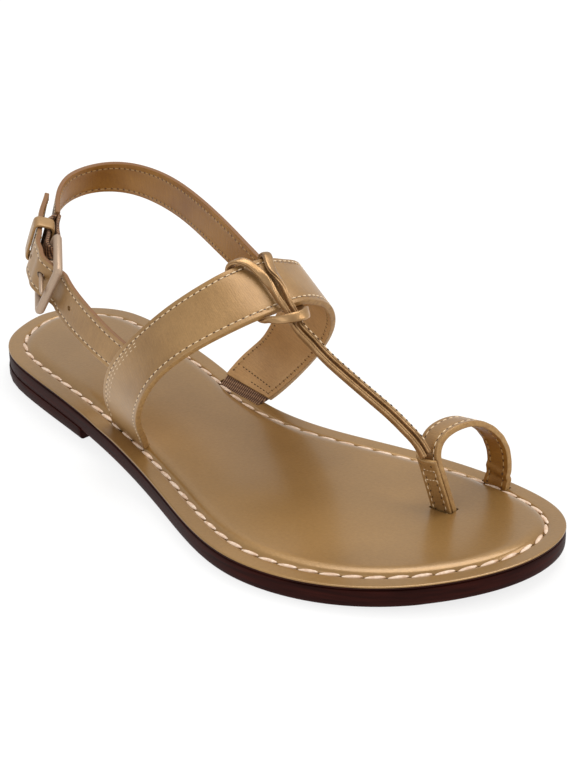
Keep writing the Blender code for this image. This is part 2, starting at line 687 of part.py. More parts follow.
def t_strap_sections(instep):
    """Sections of the one strip: up from the cuff, round the knot and down to the cuff again."""
    run = natural_spline(placed(T_LINE), 22)
    run_out = (CORD_THICK + CORD_GAP) / 2
    centres, faces, widths = [], [], []
    for side in (-1, 1):
        leg = [(point + side * run_out * T_STRAP_SPREAD, side * T_STRAP_SPREAD, T_STRAP_DEEP)
               for point in run]
        if side > 0:
            leg.reverse()
            for lay in KNOT:
                share = instep.share_at(lay.out)
                _, half, proud, along = instep.frame(share)
                face = -along * lay.round + unit(half) * lay.fore + proud * lay.proud
                if np.dot(along, (0.0, 1.0, 0.0)) > 0:
                    face = along * lay.round + unit(half) * lay.fore + proud * lay.proud
                centres.append(instep.point(share, lay.side, lay.lift))
                faces.append(unit(face))
                widths.append(lay.wide)
        for centre, face, wide in leg:
            centres.append(centre)
            faces.append(unit(face))
            widths.append(wide)
    rows = np.column_stack((centres, faces, widths))
    dense = natural_spline(rows, 150)
    runs = unit(np.gradient(dense[:, :3], axis=0))
    sections = []
    for row, direction in zip(dense, runs):
        face = row[3:6] - direction * np.dot(row[3:6], direction)
        half = unit(np.cross(direction, face)) * row[6] / 2
        sections.append(strip_section(row[:3], half, unit(face), CORD_THICK, 0.7))
    return sections


def make_t_strap(instep, material):
    """One narrow folded strip, tied round the instep strap."""
    return finish("t_strap", tube(t_strap_sections(instep)), material)


def make_tab(band, material):
    """The tab that holds the strip's ends, sewn to the outer face of the toe post."""
    sections = level_end(band_sections(band, 0.0, 1.0, 12, TAB_THICK), False, SLOT_BASE)
    return finish("toe_post_tab", tube(sections), material)


def make_toe_loop(band, material):
    """The strap from the post over the big toe to the inner side of the sole."""
    sections = level_end(band_sections(band, 0.0, 1.0, 44, TOE_THICK), False, SLOT_BASE)
    sections = level_end(sections, True, SLOT_BASE)
    return finish("toe_loop", tube(sections), material)


def main():
    for old in list(bpy.data.objects):
        bpy.data.objects.remove(old)
    gold = finish_of("metallic gold leather", (0.40, 0.24, 0.11), 0.38, 0.55)
    footbed_gold = finish_of("metallic gold insole leather", (0.36, 0.22, 0.11), 0.45, 0.45)
    sole = finish_of("dark stacked leather sole", (0.035, 0.010, 0.007), 0.40, 0.0)
    elastic = finish_of("brown woven elastic", (0.10, 0.050, 0.028), 0.85, 0.0)
    metal = finish_of("pale gold plated metal", (0.62, 0.42, 0.30), 0.30, 0.9)

    instep = Band(INSTEP_ROWS)
    sling = Band(SLING_ROWS)
    toe = Band(TOE_ROWS)
    tab = Band(TAB_ROWS)

    make_outsole(sole)
    make_heel_lift(sole)
    slots = [
        slot_cutter("slot_outer", instep, False, STRAP_THICK, footbed_gold),
        slot_cutter("slot_inner", instep, True, ELASTIC_THICK, footbed_gold, slant=GORE_SLANT),
        slot_cutter("slot_post", toe, False, TOE_THICK + TAB_THICK + GAP, footbed_gold, TAB_THICK / 2),
        slot_cutter("slot_loop", toe, True, TOE_THICK, footbed_gold),
    ]
    make_footbed(footbed_gold, slots)
    make_instep_strap(instep, gold)
    make_gore(instep, elastic)
    make_sling_front(sling, gold)
    make_sling_heel(sling, gold)
    make_sling_elastic(sling, elastic)
    make_keeper(sling, gold)
    make_buckle_frame(sling, metal)
    make_prong(sling, metal)
    make_t_strap(instep, gold)
    make_tab(tab, gold)
    make_toe_loop(toe, gold)


main()
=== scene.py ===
"""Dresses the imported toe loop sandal: leather, lining, thread, elastic and metal over its solids,
in a white studio. Sizes are millimetres until a piece is finished, which makes them metres."""

from collections import namedtuple
from math import cos, pi, radians, sin

import bpy
import numpy as np
from mathutils import Matrix, Vector


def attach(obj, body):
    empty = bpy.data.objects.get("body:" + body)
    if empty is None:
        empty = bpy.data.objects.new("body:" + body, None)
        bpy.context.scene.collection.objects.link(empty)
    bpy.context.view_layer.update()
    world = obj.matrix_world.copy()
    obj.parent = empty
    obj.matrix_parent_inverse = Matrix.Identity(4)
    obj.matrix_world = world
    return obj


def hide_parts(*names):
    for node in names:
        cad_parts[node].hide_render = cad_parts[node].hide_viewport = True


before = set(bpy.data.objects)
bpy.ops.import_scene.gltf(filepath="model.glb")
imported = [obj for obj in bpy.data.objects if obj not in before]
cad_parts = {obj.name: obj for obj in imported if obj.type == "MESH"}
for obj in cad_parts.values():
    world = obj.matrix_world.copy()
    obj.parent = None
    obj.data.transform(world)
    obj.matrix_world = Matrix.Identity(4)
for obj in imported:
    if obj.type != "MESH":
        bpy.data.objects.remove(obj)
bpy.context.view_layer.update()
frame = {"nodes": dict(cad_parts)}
bpy.ops.object.select_all(action="DESELECT")

# The studio: a white table lit from below, under soft boxes. The camera stands outside the little
# toe, in front of the shoe, and looks down on it; its long lens keeps the shoe's lines calm.
CAMERA_PLACE = (0.50733, -0.41603, 0.37020)
CAMERA_RIGHT = Vector((0.66436, 0.74705, -0.02324))
CAMERA_UP = Vector((-0.33015, 0.32122, 0.88759))
LENS = 103.1
FILM_WIDTH = 36.0
TABLE_GLOW = 0.80
ROOM_LIGHT = 0.66


def to_linear(text):
    """An sRGB hex colour as linear light with full alpha."""
    shares = [int(text[i:i + 2], 16) / 255 for i in (1, 3, 5)]
    light = [s / 12.92 if s <= 0.04045 else ((s + 0.055) / 1.055) ** 2.4 for s in shares]
    return (*light, 1.0)


def add(tree, kind, inputs=(), **settings):
    """A node with its settings; an input is given a value, or a socket that is linked to it."""
    node = tree.nodes.new("ShaderNode" + kind)
    for key, value in settings.items():
        setattr(node, key, value)
    for key, value in dict(inputs).items():
        if isinstance(value, bpy.types.NodeSocket):
            tree.links.new(value, node.inputs[key])
        else:
            node.inputs[key].default_value = value
    return node


def surface(name):
    """A new material, its node tree and its shader."""
    made = bpy.data.materials.new(name)
    made.use_nodes = True
    return made, made.node_tree, made.node_tree.nodes["Principled BSDF"]


def supply(tree, shader, inputs):
    """The shader's inputs: each is given a value, or the node that drives it."""
    for key, value in inputs.items():
        if isinstance(value, bpy.types.Node):
            tree.links.new(value.outputs[0], shader.inputs[key])
        else:
            shader.inputs[key].default_value = value


def soft_box(name, place, aim, wide, high, power, colour):
    """A rectangular light that looks at a point."""
    bpy.ops.object.light_add(type="AREA", location=place)
    light = bpy.context.object
    light.name = name
    light.rotation_euler = (Vector(aim) - Vector(place)).to_track_quat("-Z", "Y").to_euler()
    light.data.shape = "RECTANGLE"
    light.data.size = wide
    light.data.size_y = high
    light.data.energy = power
    light.data.color = to_linear(colour)[:3]
    light.select_set(False)


# Opal acrylic lit from below: white, with hardly a shadow on it
opal_table, tree, shader = surface("lit opal acrylic table")
supply(tree, shader, {"Base Color": to_linear("#808080"), "Roughness": 0.9,
                      "Specular IOR Level": 0.1, "Emission Color": to_linear("#ffffff"),
                      "Emission Strength": TABLE_GLOW})
bpy.ops.mesh.primitive_plane_add(size=8.0, location=(0, 0, -0.0002))
floor = bpy.context.object
floor.name = "studio_floor"
floor.data.materials.append(opal_table)
floor.select_set(False)

soft_box("overhead_box", (-0.10, 0.35, 1.10), (0.0, 0.0, 0.02), 0.9, 0.7, 8.0, "#fffdf8")
soft_box("side_box", (0.75, 0.55, 0.55), (0.02, 0.0, 0.04), 0.5, 0.5, 3.0, "#fff8ee")
soft_box("front_fill", (0.25, -1.0, 0.60), (0.0, 0.0, 0.03), 0.8, 0.5, 2.2, "#ffffff")

world = bpy.data.worlds.new("white room")
world.use_nodes = True
background = world.node_tree.nodes["Background"]
background.inputs["Color"].default_value = to_linear("#ffffff")
background.inputs["Strength"].default_value = ROOM_LIGHT
bpy.context.scene.world = world
bpy.context.scene.view_settings.view_transform = "Standard"

bpy.ops.object.camera_add(location=CAMERA_PLACE)
camera = bpy.context.object
camera.name = "photo_camera"
backwards = CAMERA_RIGHT.cross(CAMERA_UP)
turn = Matrix((CAMERA_RIGHT, CAMERA_UP, backwards)).transposed()
camera.rotation_euler = turn.to_euler()
camera.data.lens = LENS
camera.data.sensor_width = FILM_WIDTH
camera.data.clip_start = 0.02
camera.select_set(False)
bpy.context.scene.camera = camera

# The sole: one bend of stacked leather with a low lift under the heel, both dyed dark red-brown,
# waxed and burnished at the edge. The lift is cut straight across at its breast.
LENGTH = 247.0
BALL_WIDTH = 97.0
INSTEP_HEIGHT = 75.0
HEEL_RISE = 4.0
TOE_SPRING = 3.9
SOLE_THICK = 6.2
FLANGE_THICK = 1.2
GAP = 0.3
WAIST_BACK = 19.6
WAIST_FRONT = 58.1
SPRING_START = 76.3
RING_HALF = 48
TO_METRES = 0.001
WELD_WITHIN = 0.000002

# Outline from the back of the heel round the little toe side, in per cent: along, out
OUTLINE = (
    (0.0, 0.0), (0.7, -10.8), (3.4, -23.2), (8.3, -31.4), (13.6, -34.6), (27.3, -38.8),
    (41.9, -44.3), (54.0, -51.9), (63.4, -58.6), (71.1, -60.8), (78.3, -57.5), (86.4, -48.0),
    (92.9, -34.2), (97.6, -17.0), (99.9, 0.0), (99.8, 14.4), (97.4, 27.8), (92.9, 35.9),
    (87.2, 39.1), (79.1, 38.4), (70.2, 33.2), (60.1, 24.7), (50.8, 18.1), (42.7, 16.5),
    (33.8, 20.3), (23.7, 23.7), (13.6, 25.8), (7.5, 23.3), (3.0, 15.1), (0.6, 6.2),
)


def run_along(line):
    """How far along a line each of its points lies."""
    return np.concatenate(([0.0], np.cumsum(np.linalg.norm(np.diff(line, axis=0), axis=1))))


def read_at(table, run, places):
    """A table whose rows stand at the places of a run, read at other places."""
    return np.stack([np.interp(places, run, column) for column in np.asarray(table).T], axis=-1)


def natural_spline(points, count):
    """A natural cubic spline through the points, read at count places evenly spaced by chord."""
    points = np.asarray(points, float)
    run = run_along(points)
    step = np.diff(run)
    size = len(points)
    matrix = np.eye(size)
    right = np.zeros_like(points)
    for i in range(1, size - 1):
        matrix[i, i - 1:i + 2] = step[i - 1], 2 * (step[i - 1] + step[i]), step[i]
        rise_after = (points[i + 1] - points[i]) / step[i]
        rise_before = (points[i] - points[i - 1]) / step[i - 1]
        right[i] = 6 * (rise_after - rise_before)
    bend = np.linalg.solve(matrix, right)
    places = np.linspace(0, run[-1], count)
    span = np.clip(np.searchsorted(run, places, side="right") - 1, 0, size - 2)
    width = step[span][:, None]
    before = (run[span + 1] - places)[:, None]
    after = (places - run[span])[:, None]
    curve = (bend[span] * before ** 3 + bend[span + 1] * after ** 3) / (6 * width)
    curve += (points[span] / width - bend[span] * width / 6) * before
    curve += (points[span + 1] / width - bend[span + 1] * width / 6) * after
    return curve


def unit(vectors):
    """The same vectors, one long."""
    vectors = np.asarray(vectors, float)
    return vectors / np.linalg.norm(vectors, axis=-1, keepdims=True)


def read(table, places):
    """Rows of a table evenly spaced over 0 to 1, read at the given places."""
    return read_at(table, np.linspace(0, 1, len(table)), places)


def outline_halves():
    """The outline's little toe side and big toe side, each from heel to toe, in per cent."""
    wrapped = np.array(OUTLINE[-4:] + OUTLINE + OUTLINE[:5]) * (LENGTH, BALL_WIDTH)
    dense = natural_spline(wrapped, 4000)
    start = np.argmin(np.linalg.norm(dense[:1000] - wrapped[4], axis=1))
    close = 3000 + np.argmin(np.linalg.norm(dense[3000:] - wrapped[4], axis=1))
    loop = dense[start:close]
    loop = np.roll(loop, -int(np.argmin(loop[:, 0])), axis=0)
    tip = int(np.argmax(loop[:, 0]))
    outer = loop[:tip + 1]
    inner = np.concatenate((loop[:1], loop[:tip - 1:-1]))
    return [half / (LENGTH, BALL_WIDTH) for half in (outer, inner)]


def even_steps(line, count):
    """A dense line read at count places, evenly spaced along its length in millimetres."""
    run = run_along(line * (LENGTH, BALL_WIDTH))
    return read_at(line, run, np.linspace(0, run[-1], count))


OUTER_SIDE, INNER_SIDE = outline_halves()
ALONG_MIDDLE = (OUTER_SIDE[:, 0].min() + OUTER_SIDE[:, 0].max()) / 2
OUT_MIDDLE = (OUTER_SIDE[:, 1].min() + INNER_SIDE[:, 1].max()) / 2


def placed(places):
    """Shares along, out and up as millimetres in the object's frame."""
    shares = np.asarray(places, float) - (ALONG_MIDDLE, OUT_MIDDLE, 0.0)
    return shares * (LENGTH, BALL_WIDTH, INSTEP_HEIGHT) / 100


def underside(x):
    """Height of the sole's underside over the floor at X: raised waist and heel, toe spring."""
    along = np.asarray(x) / LENGTH * 100 + ALONG_MIDDLE
    back = np.clip((WAIST_FRONT - along) / (WAIST_FRONT - WAIST_BACK), 0, 1)
    front = np.clip((along - SPRING_START) / (100 - SPRING_START), 0, None)
    return HEEL_RISE * back * back * (3 - 2 * back) + TOE_SPRING * front * front


def ring(inset, height, half=RING_HALF):
    """The outline as a closed ring, moved in by an inset and up from the sole's underside."""
    halves = [even_steps(side, half + 1) for side in (OUTER_SIDE, INNER_SIDE)]
    loop = np.concatenate((halves[0], halves[1][-2:0:-1]))
    flat = placed(np.column_stack((loop, np.zeros(len(loop)))))[:, :2]
    along = unit(np.roll(flat, -1, axis=0) - np.roll(flat, 1, axis=0))
    inwards = np.column_stack((-along[:, 1], along[:, 0]))
    moved = flat + inwards * inset
    return np.column_stack((moved, underside(moved[:, 0]) + height))


def select_only(piece):
    """One object selected and active."""
    bpy.ops.object.select_all(action="DESELECT")
    piece.select_set(True)
    bpy.context.view_layer.objects.active = piece


def new_piece(name, mesh):
    """An object for a mesh, selected and active."""
    piece = bpy.data.objects.new(name, mesh)
    bpy.context.scene.collection.objects.link(piece)
    select_only(piece)
    return piece


def turn_outwards(piece):
    """All its faces turned to point out."""
    select_only(piece)
    bpy.ops.object.mode_set(mode="EDIT")
    bpy.ops.mesh.select_all(action="SELECT")
    bpy.ops.mesh.normals_make_consistent(inside=False)
    bpy.ops.object.mode_set(mode="OBJECT")


def welded_copy(node, name):
    """A solid's own shape as a new piece, its triangles welded and paired up."""
    piece = new_piece(name, frame["nodes"][node].data.copy())
    piece.data.materials.clear()
    bpy.ops.object.mode_set(mode="EDIT")
    bpy.ops.mesh.select_all(action="SELECT")
    bpy.ops.mesh.customdata_custom_splitnormals_clear()
    bpy.ops.mesh.remove_doubles(threshold=WELD_WITHIN)
    bpy.ops.mesh.tris_convert_to_quads(face_threshold=radians(40), shape_threshold=radians(60))
    bpy.ops.object.mode_set(mode="OBJECT")
    return piece


def finish_with(piece, kind, **settings):
    """Adds a modifier and applies it."""
    select_only(piece)
    modifier = piece.modifiers.new(kind, kind)
    for key, value in settings.items():
        setattr(modifier, key, value)
    bpy.ops.object.modifier_apply(modifier=modifier.name)


def smooth_by(piece, degrees):
    """Smooth shading, but for edges sharper than an angle."""
    select_only(piece)
    bpy.ops.object.shade_smooth_by_angle(angle=radians(degrees))
    piece.select_set(False)


def belongs(piece, slot, *nodes):
    """The piece rides on the shoe and stands for its solids; the slot is not used."""
    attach(piece, "root")
    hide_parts(*nodes)


def hand_over(piece, skin, degrees, slot, node):
    """A piece made from its own solid takes its material and shading, and the solid's place."""
    piece.data.materials.append(skin)
    smooth_by(piece, degrees)
    belongs(piece, slot, node)


# Stacked leather, dyed and waxed: dark, half glossy, with faint lines of the layers and of wear
sole_leather, tree, shader = surface("dyed waxed sole leather")
place = add(tree, "TexCoord").outputs["Object"]
layers = add(tree, "Mapping", {"Vector": place, "Scale": (60, 60, 900)})
streaks = add(tree, "TexNoise", {"Vector": layers.outputs[0], "Scale": 1.0, "Detail": 4.0})
tone = add(tree, "MapRange", {"Value": streaks.outputs[0], "From Min": 0.3, "From Max": 0.7})
mixed = add(tree, "MixRGB", {0: tone.outputs[0], 1: to_linear("#1f0704"), 2: to_linear("#34110b")})
rough = add(tree, "MapRange", {"Value": streaks.outputs[0], "To Min": 0.42, "To Max": 0.58})
relief = add(tree, "Bump", {"Height": streaks.outputs[0], "Strength": 0.35, "Distance": 0.0002})
supply(tree, shader, {"Base Color": mixed, "Roughness": rough, "Normal": relief,
                      "Specular IOR Level": 0.06})

EDGE_CREASE = 0.8
outsole = welded_copy("outsole", "dressed_outsole")
bpy.ops.object.mode_set(mode="EDIT")
bpy.ops.mesh.select_mode(type="EDGE")
bpy.ops.mesh.select_all(action="DESELECT")
bpy.ops.mesh.edges_select_sharp(sharpness=radians(40))
bpy.ops.transform.edge_crease(value=EDGE_CREASE)
bpy.ops.mesh.select_mode(type="VERT")
bpy.ops.object.mode_set(mode="OBJECT")
finish_with(outsole, "SUBSURF", levels=2, render_levels=2)
hand_over(outsole, sole_leather, 180, "sole_leather", "outsole")

# The heel lift: one more layer of the same leather, glued on and sanded flush with the sole. Its
# side is brought out level with the sole's and goes up far enough to close the joint.
LIFT_MIDDLE = (-0.085, 0.004, 0.0)
LIFT_GROWTH = (1.004, 1.010, 1.0)
LIFT_UPPER_HALF = 0.002
LIFT_INTO_SOLE = (0.0, 0.0, 0.0012)
heel_lift = welded_copy("heel_lift", "dressed_heel_lift")
bpy.ops.object.mode_set(mode="EDIT")
bpy.ops.mesh.select_all(action="SELECT")
bpy.ops.transform.resize(value=LIFT_GROWTH, center_override=LIFT_MIDDLE)
bpy.ops.mesh.select_all(action="DESELECT")
bpy.ops.object.mode_set(mode="OBJECT")
for vertex in heel_lift.data.vertices:
    vertex.select = vertex.co.z > LIFT_UPPER_HALF
bpy.ops.object.mode_set(mode="EDIT")
bpy.ops.transform.translate(value=LIFT_INTO_SOLE)
bpy.ops.object.mode_set(mode="OBJECT")
finish_with(heel_lift, "BEVEL", width=0.0003, segments=2, limit_method="ANGLE",
            angle_limit=radians(35))
hand_over(heel_lift, sole_leather, 40, "sole_leather", "heel_lift")

# The footbed: gold foiled leather over a thin foam, stitched down a little inside its edge. It is
# flat outside the stitches, softly padded inside them, and slit where a strap goes in.
STITCH_INSET = 6.5
INSTEP_SLOT = (-38.6, -26.5)
GORE_SLOT = (-27.0, 24.5)
POST_SLOT = (80.0, 17.5)
LOOP_SLOT = (77.5, 43.5)

insole_gold, tree, shader = surface("foiled insole leather")
place = add(tree, "TexCoord").outputs["Object"]
cloud = add(tree, "TexNoise", {"Vector": place, "Scale": 22.0, "Detail": 3.0})
tone = add(tree, "MapRange", {"Value": cloud.outputs[0], "From Min": 0.35, "From Max": 0.65})
gold = add(tree, "MixRGB", {0: tone.outputs[0], 1: to_linear("#8e6b3a"), 2: to_linear("#9a7541")})
# Grain of about 0.8 mm, a little coarser than the real one so that it still shows
grain = add(tree, "TexVoronoi", {"Vector": place, "Scale": 1200.0})
fleck = add(tree, "TexNoise", {"Vector": place, "Scale": 900.0, "Detail": 2.0})
dull = add(tree, "MixRGB", {0: 0.12, 1: gold.outputs[0], 2: fleck.outputs[0]},
           blend_type="OVERLAY")
rough = add(tree, "MapRange", {"Value": cloud.outputs[0], "To Min": 0.27, "To Max": 0.38})
relief = add(tree, "Bump", {"Height": grain.outputs[0], "Strength": 0.10, "Distance": 0.0002})
supply(tree, shader, {"Base Color": dull, "Roughness": rough, "Normal": relief, "Metallic": 0.40,
                      "Coat Weight": 0.55, "Coat Roughness": 0.18})

# Raw cut leather at the edge, dyed tan: matte, fibrous
cut_edge, tree, shader = surface("dyed cut leather edge")
place = add(tree, "TexCoord").outputs["Object"]
fibre = add(tree, "TexNoise", {"Vector": place, "Scale": 700.0, "Detail": 3.0})
tone = add(tree, "MapRange", {"Value": fibre.outputs[0], "From Min": 0.3, "From Max": 0.7})
mixed = add(tree, "MixRGB", {0: tone.outputs[0], 1: to_linear("#946f42"), 2: to_linear("#ad8752")})
relief = add(tree, "Bump", {"Height": fibre.outputs[0], "Strength": 0.15, "Distance": 0.0002})
supply(tree, shader, {"Base Color": mixed, "Normal": relief, "Roughness": 0.6, "Metallic": 0.1})

BED_HALF = 150
BED_ACROSS = 20
PAD_SWELL = 1.35
SHOULDER_START = 6.6
SHOULDER_WIDE = 4.6
SHOULDER_CURVE = 2.2
TROUGH_DEEP = 0.65
TROUGH_HALF = 0.7
SLOT_ROOM = 0.35
SLOT_REACH = 4.5
RIM_RINGS = ((0.6, 0.0), (0.28, 0.12), (0.2, 0.35), (0.2, 0.78), (0.28, 1.04), (0.45, 1.16),
             (0.7, 1.2))
TOP_INSETS = (1.4, 2.6, 3.8, 4.7, 5.2, 5.6, 5.9, 6.2, 6.5, 6.8, 7.1, 7.4, 7.8, 8.3, 8.9, 9.6, 10.4,
              11.3, 12.5)
SLOT_DIPS = ((INSTEP_SLOT, 6.0, 0.45), (GORE_SLOT, 6.0, 0.35), (POST_SLOT, 5.0, 0.5),
             (LOOP_SLOT, 4.0, 0.3))


def bed_height(inset):
    """The upper face over the footbed's underside: flange, stitched-down trough, soft pad."""
    rise = min(max((inset - SHOULDER_START) / SHOULDER_WIDE, 0.0), 1.0)
    pad = PAD_SWELL * (1.0 - (1.0 - rise) ** SHOULDER_CURVE)
    trough = TROUGH_DEEP * np.exp(-((inset - STITCH_INSET) / TROUGH_HALF) ** 2)
    return FLANGE_THICK + pad - trough


def shape_footbed():
    """Rings over the rim and up the pad's shoulder, then rows from side to side."""
    base = SOLE_THICK + GAP
    rings = [ring(inset, base + up, BED_HALF) for inset, up in RIM_RINGS]
    rings += [ring(inset, base + bed_height(inset), BED_HALF) for inset in TOP_INSETS]
    count = 2 * BED_HALF
    points = list(np.concatenate(rings))
    faces = [(r * count + i, r * count + (i + 1) % count, (r + 1) * count + (i + 1) % count,
              (r + 1) * count + i) for r in range(len(rings) - 1) for i in range(count)]
    rim_faces = 3 * count
    for first in (0, (len(rings) - 1) * count):
        lines = [[first] * (BED_ACROSS + 1)]
        for i in range(1, BED_HALF):
            start, end = points[first + i], points[first + count - i]
            middles = []
            for share in np.arange(1, BED_ACROSS) / BED_ACROSS:
                spot = start + (end - start) * share
                rise = start[2] - underside(start[:1])[0]
                points.append(np.array((spot[0], spot[1], underside(spot[:1])[0] + rise)))
                middles.append(len(points) - 1)
            lines.append([first + i, *middles, first + count - i])
        lines.append([first + BED_HALF] * (BED_ACROSS + 1))
        for line, after in zip(lines, lines[1:]):
            for i in range(BED_ACROSS):
                corners = (line[i], line[i + 1], after[i + 1], after[i])
                faces.append(tuple(dict.fromkeys(corners)))
    points = np.array(points)
    upper = points[:, 2] - underside(points[:, 0]) - base > 0.55
    for place, reach, depth in SLOT_DIPS:
        away = np.linalg.norm(points[:, :2] - place, axis=1)
        points[:, 2] -= depth * np.exp(-(away / reach) ** 2) * upper
    mesh = bpy.data.meshes.new("dressed_footbed")
    mesh.from_pydata((points * TO_METRES).tolist(), [], faces)
    for material in (insole_gold, sole_leather):
        mesh.materials.append(material)
    mesh.polygons.foreach_set("material_index", [int(n < rim_faces) for n in range(len(faces))])
    piece = new_piece("dressed_footbed", mesh)
    turn_outwards(piece)
    return piece


def cut_slot(centre, half, out, thick):
    """A slit through the footbed round a strap's end."""
    bpy.ops.object.select_all(action="DESELECT")
    bpy.ops.mesh.primitive_cube_add(size=2.0)
    block = bpy.context.object
    signs = np.array([vertex.co for vertex in block.data.vertices])
    half = half * (1 + SLOT_ROOM / np.linalg.norm(half))
    flow = unit(np.cross(out, half)) * SLOT_REACH
    corners = (centre + signs[:, :1] * half + signs[:, 1:2] * out * (thick / 2 + SLOT_ROOM)
               + signs[:, 2:] * flow)
    block.data.vertices.foreach_set("co", (corners * TO_METRES).ravel())
    block.data.update()
    turn_outwards(block)
    # The slit's cut walls take the hole material: painted shade
    block.data.materials.append(hole_shade_paint)
    finish_with(footbed, "BOOLEAN", operation="DIFFERENCE", solver="EXACT", object=block)
    bpy.data.objects.remove(block)


# Painted shade: the inside of a stitch hole or a slit, coloured dark for the shadow that falls in
# it
hole_shade_paint, tree, shader = surface("painted shade of leather holes")
supply(tree, shader, {"Base Color": to_linear("#3a2614"), "Roughness": 0.9})

footbed = shape_footbed()

# The thick thread that joins footbed and sole: a waxed cream cord in long slanted stitches, each
# sunk into the leather at both its ends, round the whole edge. One stitch is modelled and copied.
WELT_PITCH = 7.15
WELT_STITCH = (3.38, 0.80, 0.55)
WELT_SLANT = 0.15
WELT_SINK = 0.33
# Size and sinking of the dark ellipsoids painted as shade in the welt's stitch holes
WELT_HOLE = (0.6, 0.34, 0.2)
WELT_HOLE_SINK = 0.3

# Waxed cotton cord: off-white with a pink tinge, twisted, matte with a slight sheen
welt_thread, tree, shader = surface("waxed cream cord")
place = add(tree, "TexCoord").outputs["Object"]
twist = add(tree, "TexNoise", {"Vector": place, "Scale": 600.0, "Detail": 2.0})
tone = add(tree, "MapRange", {"Value": twist.outputs[0], "From Min": 0.3, "From Max": 0.7})
mixed = add(tree, "MixRGB", {0: tone.outputs[0], 1: to_linear("#cba98c"), 2: to_linear("#ecd6c2")})
relief = add(tree, "Bump", {"Height": twist.outputs[0], "Strength": 0.4, "Distance": 0.0002})
supply(tree, shader, {"Base Color": mixed, "Normal": relief, "Roughness": 0.55})


def sew(name, rows, thread):
    """Stitches as one piece: each row gives a stitch's middle, run and face, and its half sizes."""
    bpy.ops.object.select_all(action="DESELECT")
    bpy.ops.mesh.primitive_uv_sphere_add(segments=8, ring_count=6, radius=1.0)
    one = bpy.context.object
    shape = np.array([vertex.co for vertex in one.data.vertices])
    sides = [tuple(face.vertices) for face in one.data.polygons]
    bpy.data.objects.remove(one)
    corners = []
    faces = []
    for middle, run, face, size in rows:
        face = unit(face - run * np.dot(face, run))
        across = np.cross(face, run)
        # The ball's poles lie at the stitch's two ends
        place = (middle + shape[:, 2:3] * run * size[0] + shape[:, 0:1] * across * size[1]
                 + shape[:, 1:2] * face * size[2])
        faces += [tuple(v + len(corners) * len(shape) for v in side) for side in sides]
        corners.append(place)
    mesh = bpy.data.meshes.new(name)
    mesh.from_pydata((np.concatenate(corners) * TO_METRES).tolist(), [], faces)
    piece = new_piece(name, mesh)
    turn_outwards(piece)
    mesh.materials.append(thread)
    smooth_by(piece, 180)
    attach(piece, "root")


def spaced(line, pitch, *others):
    """A line and what goes with it, read at even steps of about a pitch, and the step's length."""
    run = run_along(line)
    count = max(2, int(round(run[-1] / pitch)))
    places = (np.arange(count) + 0.5) * run[-1] / count
    return [read_at(table, run, places) for table in (line, *others)], run[-1] / count


welt_line = ring(STITCH_INSET, SOLE_THICK + GAP + FLANGE_THICK - WELT_SINK, 600)
welt_line = np.vstack((welt_line, welt_line[:1]))
(welt_spots,), step = spaced(welt_line, WELT_PITCH)
welt_rows = []
hole_rows = []
upwards = np.array((0.0, 0.0, 1.0))
around = unit(np.roll(welt_spots, -1, axis=0) - np.roll(welt_spots, 1, axis=0))
for spot, run in zip(welt_spots, around):
    across = unit(np.cross(upwards, run))
    slanted = unit(run + across * WELT_SLANT)
    welt_rows.append((spot, slanted, upwards, WELT_STITCH))
    hole_rows.append((spot + run * step / 2 - upwards * WELT_HOLE_SINK,
                      unit(across + run * 0.5), upwards, WELT_HOLE))
sew("welt_stitches", welt_rows, welt_thread)
# The holes between the welt stitches: dark ellipsoids of painted shade
sew("welt_holes", hole_rows, hole_shade_paint)

# The straps: foiled goatskin with a leather lining glued behind it, cut to width, dyed at the cut
# edges and stitched along both. The broad one crosses the instep from the sole's outer side.
Row = namedtuple("Row", "rear_along rear_out rear_up front_along front_out front_up")
INSTEP_ROWS = (
    Row(34.7, -33.2, 12.1, 43.0, -35.9, 10.5),
    Row(35.2, -37.3, 25.6, 44.1, -39.1, 19.6),
    Row(36.4, -40.0, 36.1, 45.0, -42.4, 27.1),
    Row(39.5, -41.0, 54.8, 47.5, -46.7, 42.4),
    Row(43.2, -37.1, 70.4, 50.3, -45.0, 58.7),
    Row(46.8, -30.0, 84.3, 53.7, -36.6, 72.4),
    Row(49.8, -19.4, 94.9, 57.0, -23.2, 82.0),
    Row(51.2, -5.2, 99.3, 58.9, -6.7, 86.8),
    Row(50.5, 14.0, 92.3, 58.7, 10.8, 82.2),
    Row(47.8, 25.0, 78.0, 56.0, 22.7, 64.9),
    Row(43.2, 23.6, 50.2, 51.7, 25.6, 42.0),
    Row(39.0, 25.2, 33.2, 47.5, 22.3, 24.4),
    Row(36.3, 21.4, 22.0, 45.0, 17.9, 14.5),
    Row(35.5, 13.1, 12.0, 43.8, 12.1, 10.4),
)
GORE_START = 0.966
GORE_SLANT = 0.011
STRAP_THICK = 2.2
SEAM_INSET = 1.9
SEAM_PITCH = 2.4
THREAD = (0.80, 0.23, 0.22)
NEEDLE_HOLE = (0.24, 0.46)
SEAM_HALF = 0.55
COLUMN_INSETS = (0.0, 0.4, 0.9, 1.4, 1.9, 2.4)


